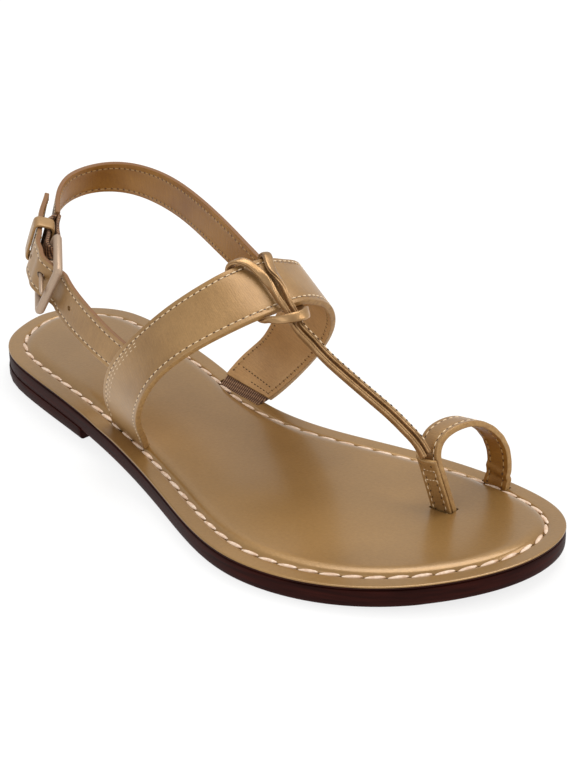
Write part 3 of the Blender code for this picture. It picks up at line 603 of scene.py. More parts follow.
class Band:
    """A strap's middle surface between its two edge lines, read at any share of its run."""

    def __init__(self, rows, count=241):
        edges = np.hstack((placed([row[:3] for row in rows]), placed([row[3:] for row in rows])))
        edges = natural_spline(edges, count)
        self.edges = edges
        rear, front = edges[:, :3], edges[:, 3:]
        self.centre = (rear + front) / 2
        self.half = (front - rear) / 2
        along = unit(np.gradient(self.centre, axis=0))
        self.proud = unit(np.cross(self.half, along))
        self.length = np.linalg.norm(np.diff(self.centre, axis=0), axis=1).sum()

    def frame(self, share):
        """Centre, half width vector, outward face and run direction at a share of the run."""
        tables = (self.centre, self.half, self.proud)
        centre, half, proud = (read(table, share) for table in tables)
        proud = unit(proud)
        return centre, half, proud, unit(np.cross(proud, half))

    def sections(self, shares, lift=0.0):
        """Centres, half width vectors and outward faces at many shares."""
        frames = [self.frame(share) for share in shares]
        centres = [centre + proud * lift for centre, _, proud, _ in frames]
        return (np.array(centres), np.array([frame[1] for frame in frames]),
                np.array([frame[2] for frame in frames]))

    def slanted(self, share, slant):
        """Centre and half width vector of a cut whose rear edge is further along the run."""
        rear = read(self.edges[:, :3], min(share + slant, 1.0))
        front = read(self.edges[:, 3:], share - slant)
        return (rear + front) / 2, (front - rear) / 2

    def point(self, share, side=0.0, lift=0.0):
        """A place on the band: side from -1 to 1 over its width, lift in millimetres off it."""
        centre, half, proud, _ = self.frame(share)
        return centre + half * side + proud * lift

    def share_at(self, out):
        """The share, past the first third, where the band's centre lies at this place across."""
        third = len(self.centre) // 3
        target = placed((0.0, out, 0.0))[1]
        steps = np.linspace(0, 1, len(self.centre))
        top = slice(third, 2 * third)
        return np.interp(target, self.centre[top, 1], steps[top])


def needle_hole_shade(tree, pitch):
    """How much painted shade a spot takes for a needle hole: a small round one at every pitch along
    the seam.
    """
    strip = add(tree, "UVMap", uv_map="strip")
    parts = add(tree, "SeparateXYZ", {0: strip.outputs[0]})
    along = add(tree, "Math", {0: parts.outputs[0], 1: pitch * TO_METRES / 2},
                operation="PINGPONG")
    off = add(tree, "Math", {0: parts.outputs[1], 1: SEAM_INSET * TO_METRES}, operation="SUBTRACT")
    both = add(tree, "CombineXYZ", {0: along.outputs[0], 1: off.outputs[0], 2: 0.0})
    away = add(tree, "VectorMath", {0: both.outputs[0]}, operation="LENGTH")
    small, large = (size * TO_METRES for size in NEEDLE_HOLE)
    return add(tree, "MapRange", {"Value": away.outputs["Value"], "From Min": small,
                                  "From Max": large, "To Min": 1.0, "To Max": 0.0}).outputs[0]


def foiled_leather(name, dark, light, metallic, coat, hole="#3d2818", pitch=SEAM_PITCH):
    """Leather with a metal foil: fine grain, faint clouding, brushed streaks, and needle holes
    whose shade is painted in the hole colour.
    """
    made, tree, shader = surface(name)
    place = add(tree, "TexCoord").outputs["Object"]
    cloud = add(tree, "TexNoise", {"Vector": place, "Scale": 55.0, "Detail": 3.0})
    tone = add(tree, "MapRange", {"Value": cloud.outputs[0], "From Min": 0.35, "From Max": 0.65})
    gold = add(tree, "MixRGB", {0: tone.outputs[0], 1: to_linear(dark), 2: to_linear(light)})
    fleck = add(tree, "TexNoise", {"Vector": place, "Scale": 1400.0, "Detail": 2.0})
    strip = add(tree, "UVMap", uv_map="strip")
    drawn = add(tree, "Mapping", {"Vector": strip.outputs[0], "Scale": (2600, 260, 1)})
    streak = add(tree, "TexNoise", {"Vector": drawn.outputs[0], "Scale": 1.0, "Detail": 2.0})
    brushed = add(tree, "MixRGB", {0: 0.20, 1: gold.outputs[0], 2: streak.outputs[0]},
                  blend_type="OVERLAY")
    flecked = add(tree, "MixRGB", {0: 0.15, 1: brushed.outputs[0], 2: fleck.outputs[0]},
                  blend_type="OVERLAY")
    # Painted shade: each needle hole is darkened to the hole colour, for the shadow in it
    holes = needle_hole_shade(tree, pitch)
    hole_shaded = add(tree, "MixRGB", {0: holes, 1: flecked.outputs[0], 2: to_linear(hole)})
    rough = add(tree, "MapRange", {"Value": fleck.outputs[0], "To Min": 0.38, "To Max": 0.52})
    grain = add(tree, "Math", {0: fleck.outputs[0], 1: streak.outputs[0]}, operation="ADD")
    low = add(tree, "Math", {0: holes, 1: -1.6, 2: grain.outputs[0]}, operation="MULTIPLY_ADD")
    relief = add(tree, "Bump", {"Height": low.outputs[0], "Strength": 0.30, "Distance": 0.0002})
    supply(tree, shader, {"Base Color": hole_shaded, "Roughness": rough, "Normal": relief,
                          "Metallic": metallic, "Specular IOR Level": 0.4, "Coat Weight": coat,
                          "Coat Roughness": 0.34})
    return made


strap_gold = foiled_leather("foiled goatskin", "#926e40", "#a37e4e", 0.35, 0.38)
# One lining leather in two copies, lit and shaded: the lighter one is painted lighter to lift the
# shade inside the instep strap and the tab; the darker, more orange one is painted shade for the
# shaded insides of the sling and the toe loop
lit_lining_gold = foiled_leather("foiled lining, painted lighter", "#b98f5e", "#c79d6a", 0.10, 0.0, "#6b4a26")
shaded_lining_gold = foiled_leather("foiled lining, painted shade", "#885a20", "#9a6b2a", 0.30, 0.0, "#5c3c1c")


def lay_strap(name, centres, halves, outs, thick, skins, relief=None, edge=0.45, seam=0.16):
    """A flat blank laid on a run of sections, given its thickness and eased at its cut edges."""
    half_wides = np.linalg.norm(halves, axis=1)
    run = run_along(centres)
    insets = np.array(COLUMN_INSETS)
    inner = np.linspace(0, 1, 7)[1:]
    insides = []
    for wide in half_wides:
        middle = insets[-1] + (wide - insets[-1]) * inner
        one_side = np.concatenate((insets, middle))
        insides.append(np.concatenate((one_side, one_side[-2::-1])))
    insides = np.array(insides)
    across_count = insides.shape[1]
    signs = np.where(np.arange(across_count) <= across_count // 2, -1.0, 1.0)
    bpy.ops.object.select_all(action="DESELECT")
    bpy.ops.mesh.primitive_grid_add(x_subdivisions=len(centres) - 1, size=1.0, calc_uvs=True,
                                    y_subdivisions=across_count - 1)
    piece = bpy.context.object
    piece.name = name
    piece.data.name = name
    blank = np.array([vertex.co for vertex in piece.data.vertices])
    rows = np.rint((blank[:, 0] + 0.5) * (len(centres) - 1)).astype(int)
    columns = np.rint((blank[:, 1] + 0.5) * (across_count - 1)).astype(int)
    inset = insides[rows, columns]
    side = signs[columns] * (1.0 - inset / half_wides[rows])
    lift = -seam * np.exp(-((inset - SEAM_INSET) / SEAM_HALF) ** 2)
    if relief is not None:
        lift = lift + relief(run[rows] / run[-1], side)
    laid = centres[rows] + halves[rows] * side[:, None] + outs[rows] * lift[:, None]
    piece.data.vertices.foreach_set("co", (laid * TO_METRES).ravel())
    layer = piece.data.uv_layers[0]
    layer.name = "strip"
    corners = np.array([loop.vertex_index for loop in piece.data.loops])
    flat = np.column_stack((run[rows], inset))[corners] * TO_METRES
    layer.data.foreach_set("uv", flat.ravel())
    piece.data.update()
    middle_face = piece.data.polygons[len(piece.data.polygons) // 2]
    corner = middle_face.vertices[0]
    if np.dot(middle_face.normal, outs[rows[corner]]) < 0:
        select_only(piece)
        bpy.ops.object.mode_set(mode="EDIT")
        bpy.ops.mesh.select_all(action="SELECT")
        bpy.ops.mesh.flip_normals()
        bpy.ops.object.mode_set(mode="OBJECT")
    for skin in skins:
        piece.data.materials.append(skin)
    finish_with(piece, "SOLIDIFY", thickness=thick * TO_METRES, offset=0.0, material_offset=1,
                material_offset_rim=2, use_even_offset=True)
    finish_with(piece, "BEVEL", width=edge * TO_METRES, segments=3, limit_method="ANGLE",
                angle_limit=radians(60))
    smooth_by(piece, 60)
    return piece


def seam_rows(centres, halves, outs, thick, side, way, ends, inset=SEAM_INSET):
    """A row of stitches along one edge of a strap, on its face or, with way -1, its lining."""
    half_wides = np.linalg.norm(halves, axis=1)
    run = run_along(centres)
    steps = (np.arange(int(run[-1] // SEAM_PITCH)) + 0.5) * SEAM_PITCH
    steps = steps[(steps > ends[0] * run[-1]) & (steps < ends[1] * run[-1])]
    line = centres + halves * (side * (1.0 - inset / half_wides))[:, None]
    flow = unit(np.gradient(line, axis=0))
    rows = []
    for step in steps:
        middle, direction, out = (read_at(table, run, step) for table in (line, flow, outs))
        out = unit(out)
        middle = middle + out * way * (thick / 2 - 0.02) - out * 0.12
        rows.append((middle, unit(direction), out * way, THREAD))
    return rows


# Spun polyester thread: cream, slightly glossy
strap_thread, tree, shader = surface("cream sewing thread")
supply(tree, shader, {"Base Color": to_linear("#e0c8a6"), "Roughness": 0.5})

# The bobbin thread on the lining side: dyed near the lining's own gold
bobbin_thread, tree, shader = surface("dull gold sewing thread")
supply(tree, shader, {"Base Color": to_linear("#b08c58"), "Roughness": 0.6})


def stitch_both(name, centres, halves, outs, thick, ends, more=()):
    """Both edges sewn: cream thread on the face, gold thread on the lining."""
    for part, way, thread in ((name, 1, strap_thread), (name + "_inside", -1, bobbin_thread)):
        rows = []
        for side in (-1.0, 1.0):
            rows += seam_rows(centres, halves, outs, thick, side, way, ends)
        sew(part, rows + list(more if way > 0 else ()), thread)


INSTEP_SEAM_ENDS = (0.02, 0.985)
# Where the sling is sewn on under it, two more rows run beside the strap's rear seam
JOIN_INSETS = (3.2, 4.5)
JOIN_RUN = (0.075, 0.25)
# The folded end's seams show on the lining as dark marks of painted shade for their holes: how far
# before the end, and from side to side
FOLD_SEAMS = ((0.022, -0.62, 0.72), (0.007, 0.05, 0.8))
FOLD_MARK = (0.55, 0.2, 0.12)
KNOT_PLACES = (0.50, 0.60)
KNOT_PRESS = 0.6
KNOT_HALF = 0.035

instep = Band(INSTEP_ROWS)
shares = np.linspace(0.0, GORE_START + 0.004, 125)
slants = GORE_SLANT * np.clip((shares - 0.85) / (GORE_START - 0.85), 0.0, None)
cuts = [instep.slanted(share, slant) for share, slant in zip(shares, slants)]
centres = np.array([cut[0] for cut in cuts])
halves = np.array([cut[1] for cut in cuts])
outs = np.array([instep.frame(share)[2] for share in shares])


def pulled_in_by_knot(along, side):
    """The knot presses the strap down under its two strips."""
    dips = [np.exp(-((along - place) / KNOT_HALF) ** 2) for place in KNOT_PLACES]
    return -KNOT_PRESS * sum(dips)


instep_strap = lay_strap("dressed_instep_strap", centres, halves, outs, STRAP_THICK,
                         (strap_gold, lit_lining_gold, cut_edge), pulled_in_by_knot)
belongs(instep_strap, "gold_leather", "instep_strap")
joined = []
for inset in JOIN_INSETS:
    joined += seam_rows(centres, halves, outs, STRAP_THICK, -1.0, 1, JOIN_RUN, inset)
stitch_both("instep_stitches", centres, halves, outs, STRAP_THICK, INSTEP_SEAM_ENDS, joined)
folded = []
for before, low, high in FOLD_SEAMS:
    centre, half = instep.slanted(GORE_START - before, GORE_SLANT)
    out = -instep.frame(GORE_START - before)[2]
    folded += [(centre + half * side + out * (STRAP_THICK / 2 - 0.02), unit(half), out, FOLD_MARK)
               for side in np.arange(low, high, 0.14)]
sew("gore_seam_marks", folded, hole_shade_paint)
cut_slot(centres[0], halves[0], outs[0], STRAP_THICK)

# The gore: a short woven elastic from under the strap's folded end into the sole's inner side,
# which lets the strap give. Dark brown, with pale threads in ribs about 1 mm apart.
ELASTIC_THICK = 1.2
woven_elastic, tree, shader = surface("woven brown elastic")
place = add(tree, "TexCoord").outputs["Object"]
ribs = add(tree, "TexWave", {"Vector": place, "Scale": 340.0, "Distortion": 0.3},
           wave_type="BANDS", bands_direction="X")
weft = add(tree, "TexWave", {"Vector": place, "Scale": 300.0, "Distortion": 0.3},
           wave_type="BANDS", bands_direction="Z")
both = add(tree, "Math", {0: weft.outputs["Fac"], 1: 0.35, 2: ribs.outputs["Fac"]},
           operation="MULTIPLY_ADD")
tone = add(tree, "MapRange", {"Value": both.outputs[0], "From Min": 0.55, "From Max": 1.15})
mixed = add(tree, "MixRGB", {0: tone.outputs[0], 1: to_linear("#472c1b"), 2: to_linear("#a17a5a")})
relief = add(tree, "Bump", {"Height": both.outputs[0], "Strength": 0.5, "Distance": 0.0003})
supply(tree, shader, {"Base Color": mixed, "Normal": relief, "Roughness": 0.8})

medial_gore = welded_copy("medial_gore", "dressed_gore")
finish_with(medial_gore, "BEVEL", width=0.0002, segments=2, limit_method="ANGLE",
            angle_limit=radians(35))
hand_over(medial_gore, woven_elastic, 40, "woven_elastic", "medial_gore")
cut_slot(*instep.slanted(1.0, GORE_SLANT), instep.frame(1.0)[2], ELASTIC_THICK)

# The sling: the same leather in two lengths round the heel, sewn under the instep strap at both
# sides. The near one runs through the buckle; the other is folded over an elastic end.
SLING_ROWS = (
    Row(41.5, -36.6, 41.0, 44.8, -35.6, 57.5),
    Row(37.9, -38.9, 46.4, 40.4, -37.8, 62.6),
    Row(30.4, -40.8, 56.5, 32.5, -38.9, 73.7),
    Row(22.8, -35.7, 64.3, 24.8, -33.6, 81.5),
    Row(19.3, -29.8, 68.1, 21.3, -27.7, 85.3),
    Row(12.1, -16.2, 72.5, 13.7, -14.3, 90.3),
    Row(5.5, -0.9, 75.6, 7.4, -0.6, 93.1),
    Row(3.8, 7.6, 77.3, 6.0, 6.4, 94.4),
    Row(4.1, 16.4, 78.8, 6.2, 13.2, 95.6),
    Row(6.4, 23.5, 79.7, 7.8, 19.5, 96.9),
    Row(14.9, 28.9, 79.5, 15.3, 26.9, 98.0),
    Row(25.4, 25.4, 77.5, 26.0, 25.1, 96.0),
    Row(35.8, 19.9, 72.9, 37.1, 19.4, 91.1),
    Row(45.5, 20.6, 62.6, 48.1, 16.6, 80.2),
    Row(48.2, 21.5, 59.3, 50.6, 18.0, 75.8),
)
FAR_BAR = 0.194
PIVOT_BAR = 0.272
KEEPER = 0.313
HEEL_END = 0.356
FREE_TIP = 0.414
OPEN_HOLES = (0.157, 0.265)
TIP_TAPER = 0.9
HOLE_RADIUS = 1.15
BUCKLE_LEAN = 0.09
FAR_BAR_LIFT = 4.6
PIVOT_BAR_LIFT = 2.6
BAR_THICK = 3.0
PRONG_THICK = 1.8
PRONG_PAST_BAR = 2.2
PRONG_HOLE_AT = 0.43
SEEN_HOLE_RADIUS = 0.78 * HOLE_RADIUS
SLING_THICK = 1.7
SLING_EASE = 0.35
FREE_LIFT = (
    (0.0, 0.0), (0.195, 0.0), (0.241, 7.0), (0.268, 8.0), (0.295, 7.0), (0.331, 6.3),
    (FREE_TIP, 4.0), (1.0, 4.0),
)


def free_lift(share):
    """How far the sling's front part stands off the band: level, then out over the pivot bar."""
    places = [row[0] for row in FREE_LIFT]
    i = min(int(np.searchsorted(places, share, side="right")) - 1, len(places) - 2)
    (start, low), (end, high) = FREE_LIFT[i], FREE_LIFT[i + 1]
    t = (share - start) / (end - start)
    return low + (high - low) * t * t * (3 - 2 * t)


def free_taper(share):
    """How much of its full width the free end keeps: it narrows behind the buckle."""
    return np.interp(share, (PIVOT_BAR - 0.02, KEEPER - 0.015), (1.0, TIP_TAPER))


def buckle_axes(band):
    """Middles of the far and the pivot bar, and the frame's directions: along, across, proud."""
    far = band.point(FAR_BAR, 0.0, FAR_BAR_LIFT)
    pivot = band.point(PIVOT_BAR, 0.0, PIVOT_BAR_LIFT)
    along = unit(pivot - far)
    across = band.frame((FAR_BAR + PIVOT_BAR) / 2)[1]
    across = unit(across - along * np.dot(across, along))
    across = unit(across - np.cross(across, along) * BUCKLE_LEAN)
    return far, pivot, along, across, unit(np.cross(across, along))


# The sling's edges are dyed a shade darker
dark_edge, tree, shader = surface("dark dyed leather edge")
supply(tree, shader, {"Base Color": to_linear("#7d5530"), "Roughness": 0.6})

sling = Band(SLING_ROWS)
shares = np.linspace(0.0, FREE_TIP, 130)
centres = np.array([sling.point(share, 0.0, free_lift(share)) for share in shares])
halves = np.array([sling.frame(share)[1] * free_taper(share) for share in shares])
outs = unit(np.cross(halves, unit(np.gradient(centres, axis=0))))
sling_front = lay_strap("dressed_sling_front", centres, halves, outs, SLING_THICK,
                        (strap_gold, shaded_lining_gold, dark_edge), edge=SLING_EASE)
belongs(sling_front, "gold_leather", "sling_front")


def punch(piece, centre, direction, radius, reach):
    """A round hole through a strap."""
    bpy.ops.object.select_all(action="DESELECT")
    bpy.ops.mesh.primitive_cylinder_add(vertices=24, radius=radius * TO_METRES,
                                        depth=2 * reach * TO_METRES,
                                        location=Vector(centre) * TO_METRES)
    tool = bpy.context.object
    tool.rotation_euler = Vector(direction).to_track_quat("Z", "Y").to_euler()
    # The hole's wall takes the hole material: painted shade
    tool.data.materials.append(hole_shade_paint)
    finish_with(piece, "BOOLEAN", operation="DIFFERENCE", solver="EXACT", object=tool)
    bpy.data.objects.remove(tool)


for share in OPEN_HOLES:
    punch(sling_front, sling.point(share, 0.0, free_lift(share)), sling.frame(share)[2],
          SEEN_HOLE_RADIUS, 4.0)
far, pivot, along, across, proud = buckle_axes(sling)
off = BAR_THICK / 2 + GAP + PRONG_THICK / 2
prong_start = pivot + proud * off
prong_run = far + proud * off - along * PRONG_PAST_BAR - prong_start
punch(sling_front, prong_start + prong_run * PRONG_HOLE_AT, prong_run,
      PRONG_THICK / 2 + GAP + 0.15, 5.4)
smooth_by(sling_front, 60)
stitch_both("sling_front_stitches", centres, halves, outs, SLING_THICK, (0.0, 0.985))

centres, halves, outs = sling.sections(np.linspace(1.0, HEEL_END, 190))
sling_heel = lay_strap("dressed_sling_heel", centres, halves, outs, SLING_THICK,
                       (strap_gold, shaded_lining_gold, dark_edge), edge=SLING_EASE)
belongs(sling_heel, "gold_leather", "sling_heel")
stitch_both("sling_heel_stitches", centres, halves, outs, SLING_THICK, (0.0, 0.99))

# The elastic that carries the buckle: it comes out of the strap's folded end, goes round the bar
# that the frame turns on, and back. It is the gore's material, a little narrower than the strap.
sling_elastic = welded_copy("sling_elastic", "dressed_sling_elastic")
hand_over(sling_elastic, woven_elastic, 40, "woven_elastic", "sling_elastic")

# The keeper: a small closed loop of the strap leather that holds the free end down. It is sewn
# shut behind the strap and slides on it.
keeper_loop = welded_copy("keeper_loop", "dressed_keeper")
finish_with(keeper_loop, "SUBSURF", levels=2, render_levels=2)
hand_over(keeper_loop, strap_gold, 180, "gold_leather", "keeper_loop")

# The buckle: a cast frame of flat bar with eased edges, and a wire prong bent round its near bar,
# both plated pale gold and left matte.
plated, tree, shader = surface("matte pale gold plating")
place = add(tree, "TexCoord").outputs["Object"]
haze = add(tree, "TexNoise", {"Vector": place, "Scale": 400.0, "Detail": 3.0})
rough = add(tree, "MapRange", {"Value": haze.outputs[0], "To Min": 0.42, "To Max": 0.56})
supply(tree, shader, {"Base Color": to_linear("#b29a84"), "Roughness": rough, "Metallic": 0.6})

buckle_frame = welded_copy("buckle_frame", "dressed_buckle_frame")
finish_with(buckle_frame, "BEVEL", width=0.00035, segments=3, limit_method="ANGLE",
            angle_limit=radians(25))
hand_over(buckle_frame, plated, 50, "buckle_metal", "buckle_frame")

buckle_prong = welded_copy("buckle_prong", "dressed_prong")
finish_with(buckle_prong, "SUBSURF", levels=2, render_levels=2)
hand_over(buckle_prong, plated, 180, "buckle_metal", "buckle_prong")

# The T strap: a narrow strip folded double, tied round the instep strap as a hitch, both ends
# running side by side down to the toe post. Its cut edges show as two ridges with a groove.
T_LINE = (
    (81.1, 4.5, 38.3), (79.8, 3.9, 43.6), (78.2, 3.6, 46.7), (75.8, 2.6, 51.5), (73.5, 1.0, 56.1),
    (71.0, -0.6, 60.7), (68.5, -2.2, 65.4), (66.0, -3.8, 70.5), (64.1, -5.0, 75.4),
)
Lay = namedtuple("Lay", "out side lift round fore proud wide")
KNOT = (
    Lay(-6.3, 1.58, -0.3, -1.0, 0.0, -0.1, 2.5),
    Lay(-6.2, 1.28, 1.1, -1.0, 0.0, 0.0, 2.5),
    Lay(-6.7, 1.11, 2.6, -1.0, 0.0, 0.0, 2.5),
    Lay(-6.9, 0.95, 2.9, -1.0, 0.0, 0.0, 2.6),
    Lay(-6.4, 0.40, 3.0, -1.0, 0.0, 0.2, 2.7),
    Lay(-6.0, -0.10, 2.9, -0.6, 0.0, 0.8, 2.9),
    Lay(-6.2, -0.45, 2.6, -0.2, 0.0, 1.0, 3.0),
    Lay(-7.2, -0.78, 2.6, 0.0, 0.0, 1.0, 3.1),
    Lay(-9.4, -1.06, 1.95, 0.0, -0.5, 0.8, 3.2),
    Lay(-11.4, -1.15, 0.1, 0.0, -1.0, 0.0, 3.2),
    Lay(-12.5, -1.07, -1.9, 0.0, -0.7, -0.7, 3.2),
    Lay(-12.8, -0.60, -2.6, 0.0, 0.0, -1.0, 3.4),
    Lay(-13.0, 0.10, -2.6, 0.0, 0.0, -1.0, 3.4),
    Lay(-13.1, 0.62, -2.9, -0.2, 0.1, -1.0, 3.0),
    Lay(-13.0, 0.97, -2.6, -0.6, 0.5, -0.7, 2.4),
    Lay(-12.1, 1.14, -0.6, -0.5, 0.8, 0.2, 2.3),
    Lay(-10.5, 1.36, 1.1, -0.2, 0.6, 0.7, 2.7),
    Lay(-8.0, 1.55, 2.6, 0.0, 0.4, 0.9, 3.2),
    Lay(-5.6, 1.63, 2.9, 0.0, 0.4, 0.9, 3.5),
    Lay(-2.4, 1.60, 2.2, 0.2, 0.4, 0.9, 3.7),
    Lay(0.7, 1.42, 0.5, 0.7, 0.5, 0.5, 3.7),
    Lay(2.4, 1.19, -1.9, 0.7, 0.3, -0.6, 3.4),
    Lay(2.8, 0.76, -2.9, 0.2, 0.1, -1.0, 3.5),
    Lay(2.7, 0.20, -2.9, 0.0, 0.0, -1.0, 3.6),
    Lay(2.4, -0.60, -2.7, 0.0, 0.0, -1.0, 3.6),
    Lay(2.1, -1.07, -1.9, 0.0, -0.7, -0.7, 3.4),
    Lay(1.9, -1.15, 0.1, 0.0, -1.0, 0.0, 3.4),
    Lay(1.6, -1.06, 1.95, 0.0, -0.6, 0.8, 3.4),
    Lay(0.2, -0.74, 2.65, 0.0, 0.0, 1.0, 3.3),
    Lay(-1.4, -0.33, 2.6, 0.2, 0.0, 1.0, 3.1),
    Lay(-2.0, 0.05, 2.9, 0.6, 0.0, 0.8, 2.9),
    Lay(-3.0, 0.50, 3.0, 1.0, 0.0, 0.2, 2.7),
    Lay(-4.2, 0.95, 2.9, 1.0, 0.0, 0.0, 2.6),
    Lay(-4.4, 1.11, 2.6, 1.0, 0.0, 0.0, 2.5),
    Lay(-3.8, 1.28, 1.1, 1.0, 0.0, 0.0, 2.5),
    Lay(-3.9, 1.58, -0.3, 1.0, 0.0, 0.1, 2.5),
)
T_STRAP_DEEP = 3.5
T_STRAP_SPREAD = np.array((0.0, 0.9, 0.43))
CORD_THICK = 1.7
CORD_GAP = 0.5
BOX_ROUNDING = 0.7
GROOVE_DEEP = 0.5
GROOVE_HALF = 0.24
STRIP_SIDES = 32


def strip_rows():
    """Middle, face and width of the strip: up from the cuff, round the knot, and down again."""
    run = natural_spline(placed(T_LINE), 22)
    run_out = (CORD_THICK + CORD_GAP) / 2
    rows = []
    for side in (-1, 1):
        leg = [(*(point + side * run_out * T_STRAP_SPREAD), *unit(side * T_STRAP_SPREAD),
                T_STRAP_DEEP) for point in run]
        if side > 0:
            leg.reverse()
            for lay in KNOT:
                share = instep.share_at(lay.out)
                _, half, out, flow = instep.frame(share)
                way = 1.0 if np.dot(flow, (0.0, 1.0, 0.0)) > 0 else -1.0
                face = flow * lay.round * way + unit(half) * lay.fore + out * lay.proud
                rows.append((*instep.point(share, lay.side, lay.lift), *unit(face), lay.wide))
        rows += leg
    return natural_spline(rows, 420)


def roll_strip(name, rows, thick, skin):
    """A strip of changing width swept along its rows: two leather layers with a groove between."""
    runs = unit(np.gradient(rows[:, :3], axis=0))
    faces = unit(rows[:, 3:6] - runs * (rows[:, 3:6] * runs).sum(axis=1)[:, None])
    sides = np.cross(runs, faces)
    deep = thick / 2
    bpy.ops.object.select_all(action="DESELECT")
    bpy.ops.mesh.primitive_grid_add(x_subdivisions=len(rows) - 1, y_subdivisions=STRIP_SIDES,
                                    size=1.0, calc_uvs=True)
    piece = bpy.context.object
    piece.name = name
    piece.data.name = name
    blank = np.array([vertex.co for vertex in piece.data.vertices])
    at = np.rint((blank[:, 0] + 0.5) * (len(rows) - 1)).astype(int)
    turn = (blank[:, 1] + 0.5) * 2 * pi
    # A rounded box section whose narrow sides are pinched in the middle
    bend_a, bend_b = (np.sign(bend) * np.abs(bend) ** BOX_ROUNDING
                      for bend in (np.cos(turn), np.sin(turn)))
    groove = GROOVE_DEEP * np.exp(-(bend_b / GROOVE_HALF) ** 2)
    wide = rows[at, 6] / 2
    out_a = np.sign(bend_a) * (np.abs(bend_a) * wide - groove * (np.abs(bend_a) > 0.5))
    laid = rows[at, :3] + sides[at] * out_a[:, None] + faces[at] * (bend_b * deep)[:, None]
    piece.data.vertices.foreach_set("co", (laid * TO_METRES).ravel())
    piece.data.update()
    select_only(piece)
    bpy.ops.object.mode_set(mode="EDIT")
    bpy.ops.mesh.select_all(action="SELECT")
    bpy.ops.mesh.remove_doubles(threshold=WELD_WITHIN)
    bpy.ops.mesh.fill_holes(sides=0)
    bpy.ops.object.mode_set(mode="OBJECT")
    turn_outwards(piece)
    piece.data.materials.append(skin)
    smooth_by(piece, 180)
    return piece


# The same foiled leather where it is rolled tight, with no needle holes; its hollows and the groove
# between its ridges are darkened as painted shade
strip_gold, tree, shader = surface("rolled foiled strip")
place = add(tree, "TexCoord").outputs["Object"]
cloud = add(tree, "TexNoise", {"Vector": place, "Scale": 160.0, "Detail": 3.0})
tone = add(tree, "MapRange", {"Value": cloud.outputs[0], "From Min": 0.35, "From Max": 0.65})
gold = add(tree, "MixRGB", {0: tone.outputs[0], 1: to_linear("#927048"), 2: to_linear("#b08c62")})
# Painted shade: where the surface is hollow, by its pointiness, the colour goes towards dark brown
hollow_shade = add(tree, "NewGeometry").outputs["Pointiness"]
ridge = add(tree, "MapRange", {"Value": hollow_shade, "From Min": 0.44, "From Max": 0.50})
mixed = add(tree, "MixRGB", {0: ridge.outputs[0], 1: to_linear("#5a3b1e"), 2: gold.outputs[0]})
grain = add(tree, "TexVoronoi", {"Vector": place, "Scale": 1400.0})
relief = add(tree, "Bump", {"Height": grain.outputs[0], "Strength": 0.2, "Distance": 0.0002})
supply(tree, shader, {"Base Color": mixed, "Normal": relief, "Roughness": 0.34, "Metallic": 0.65})

strip = strip_rows()
t_strap = roll_strip("dressed_t_strap", strip, CORD_THICK, strip_gold)
belongs(t_strap, "gold_leather", "t_strap")

# One seam holds the folded strip shut: it shows along the outer edge of its inner-side half
run_on = unit(np.gradient(strip[:, :3], axis=0))
facing = unit(strip[:, 3:6] - run_on * (strip[:, 3:6] * run_on).sum(axis=1)[:, None])
edge_on = np.cross(run_on, facing)
edge_on *= np.sign(edge_on[:, 2:3] - edge_on[:, :1])
seam_line = (strip[:, :3] + edge_on * (strip[:, 6:7] / 2 - 0.05) + facing * 0.52)
last = slice(int(len(strip) * 0.745), len(strip) - 4)
(spots, ways), step = spaced(seam_line[last], 2.3, np.hstack((run_on[last], edge_on[last])))
marks = [(spot, unit(way[:3]), unit(way[3:]), (0.42, 0.22, 0.16)) for spot, way in zip(spots, ways)]
# The seam's needle holes: dark ellipsoids of painted shade
sew("strip_holes", marks, hole_shade_paint)
marks = [(spot + unit(way[:3]) * step / 2, unit(way[:3]), unit(way[3:]), (0.62, 0.17, 0.15))
         for spot, way in zip(spots, ways)]
sew("strip_stitches", marks, strap_thread)

# The toe loop: one strap of the same leather that comes up between the toes as their post, arches
# over the big toe and goes down into the sole's inner side.
TOE_ROWS = (
    Row(81.0, 9.7, 8.8, 84.3, 10.9, 9.5),
    Row(80.9, 7.9, 18.9, 83.8, 8.8, 21.2),
    Row(80.1, 7.3, 27.5, 83.2, 7.5, 30.5),
    Row(78.9, 8.1, 34.8, 82.4, 7.4, 38.1),
    Row(78.2, 10.9, 40.4, 82.1, 9.7, 43.5),
    Row(78.3, 18.4, 44.0, 82.2, 17.0, 46.7),
    Row(78.8, 26.5, 42.0, 82.7, 25.3, 45.3),
    Row(79.6, 32.8, 35.5, 83.5, 31.9, 38.8),
    Row(80.1, 35.8, 27.6, 84.1, 35.4, 29.9),
    Row(80.4, 36.5, 19.2, 84.5, 35.6, 20.7),
    Row(80.5, 34.0, 8.8, 84.6, 34.3, 9.3),
)
TOE_THICK = 2.0

toe = Band(TOE_ROWS)
centres, halves, outs = toe.sections(np.linspace(0.0, 1.0, 150))


def crinkled(along, side):
    """Small cross wrinkles where the loop bends in, and a fold just over the sole."""
    waves = 0.06 * np.sin(along * 95.0 + side * 1.2) * np.exp(-((along - 0.72) / 0.12) ** 2)
    fold = -0.45 * np.exp(-((along - 0.915 - 0.01 * side) / 0.012) ** 2)
    return waves + fold + 0.35 * np.exp(-((along - 0.945) / 0.014) ** 2)


# The loop's lining takes the darker lining copy: painted shade for its shaded inside
toe_loop = lay_strap("dressed_toe_loop", centres, halves, outs, TOE_THICK,
                     (strap_gold, shaded_lining_gold, cut_edge), crinkled)
belongs(toe_loop, "gold_leather", "toe_loop")
stitch_both("toe_loop_stitches", centres, halves, outs, TOE_THICK, (0.03, 0.97))
cut_slot(centres[-1], halves[-1], outs[-1], TOE_THICK)

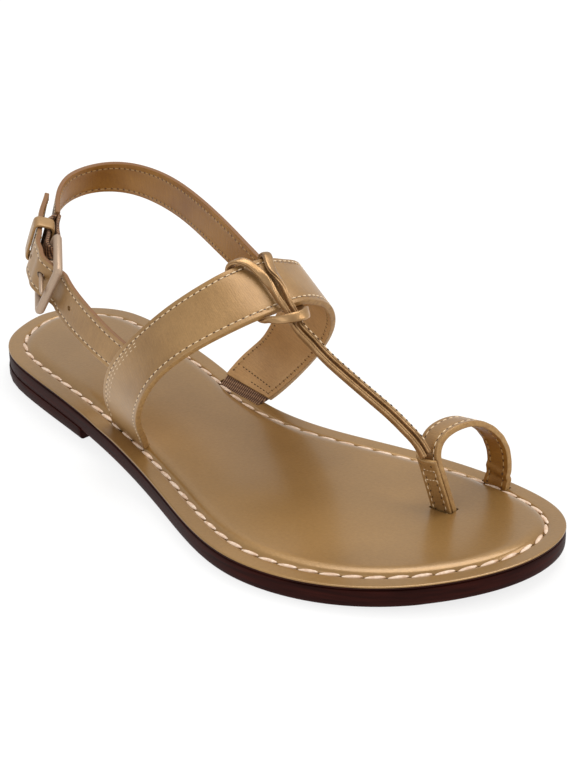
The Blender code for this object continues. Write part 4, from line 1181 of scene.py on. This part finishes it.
# The tab: a small leather piece sewn all round to the post's outer face, open at its top where
# the strip's two ends go in and are caught by two cross seams.
TAB_ROWS = (
    Row(81.2, 7.7, 8.8, 84.2, 8.9, 9.5),
    Row(80.9, 5.9, 18.9, 83.8, 6.8, 21.2),
    Row(80.1, 5.3, 27.5, 83.2, 5.5, 30.0),
    Row(79.1, 5.4, 36.0, 82.6, 5.2, 37.0),
)
TAB_THICK = 1.3
TAB_SEAM_INSET = 1.2
TAB_SEAM_ENDS = (0.05, 0.98)
CROSS_SEAMS = (0.64, 0.80)
CROSS_STITCH = (0.55, 0.18, 0.16)
MOUTH_START = 0.78
MOUTH_RISE = 2.0

tab = Band(TAB_ROWS)
centres, halves, outs = tab.sections(np.linspace(0.0, 1.0, 26), -GAP + 0.02)


def round_the_ends(along, side):
    """The tab stands off the post at its mouth, where the strip's two ends go in."""
    mouth = np.clip((along - MOUTH_START) / (1.0 - MOUTH_START), 0.0, 1.0) ** 1.3
    return MOUTH_RISE * mouth * np.clip(1.0 - np.abs(side) ** 2.5, 0.0, 1.0)


toe_tab = lay_strap("dressed_toe_tab", centres, halves, outs, TAB_THICK,
                    (strap_gold, lit_lining_gold, cut_edge), round_the_ends)
belongs(toe_tab, "gold_leather", "toe_post_tab")
rows = []
for side in (-1.0, 1.0):
    rows += seam_rows(centres, halves, outs, TAB_THICK, side, 1, TAB_SEAM_ENDS, TAB_SEAM_INSET)
for share in CROSS_SEAMS:
    centre, half, out, _ = tab.frame(share)
    lift = TAB_THICK / 2 + float(round_the_ends(share, 0.0)) - GAP - 0.06
    rows += [(centre + half * side + out * lift, unit(half), out, CROSS_STITCH)
             for side in (-0.45, -0.1, 0.25, 0.6)]
sew("tab_stitches", rows, strap_thread)

# The post and the tab go down through one slit; with it the footbed is whole
both_thick = TOE_THICK + TAB_THICK + GAP
centre, half, out, _ = toe.frame(0.0)
cut_slot(centre + out * TAB_THICK / 2, half, out, both_thick)
smooth_by(footbed, 38)
belongs(footbed, "insole_leather", "footbed")
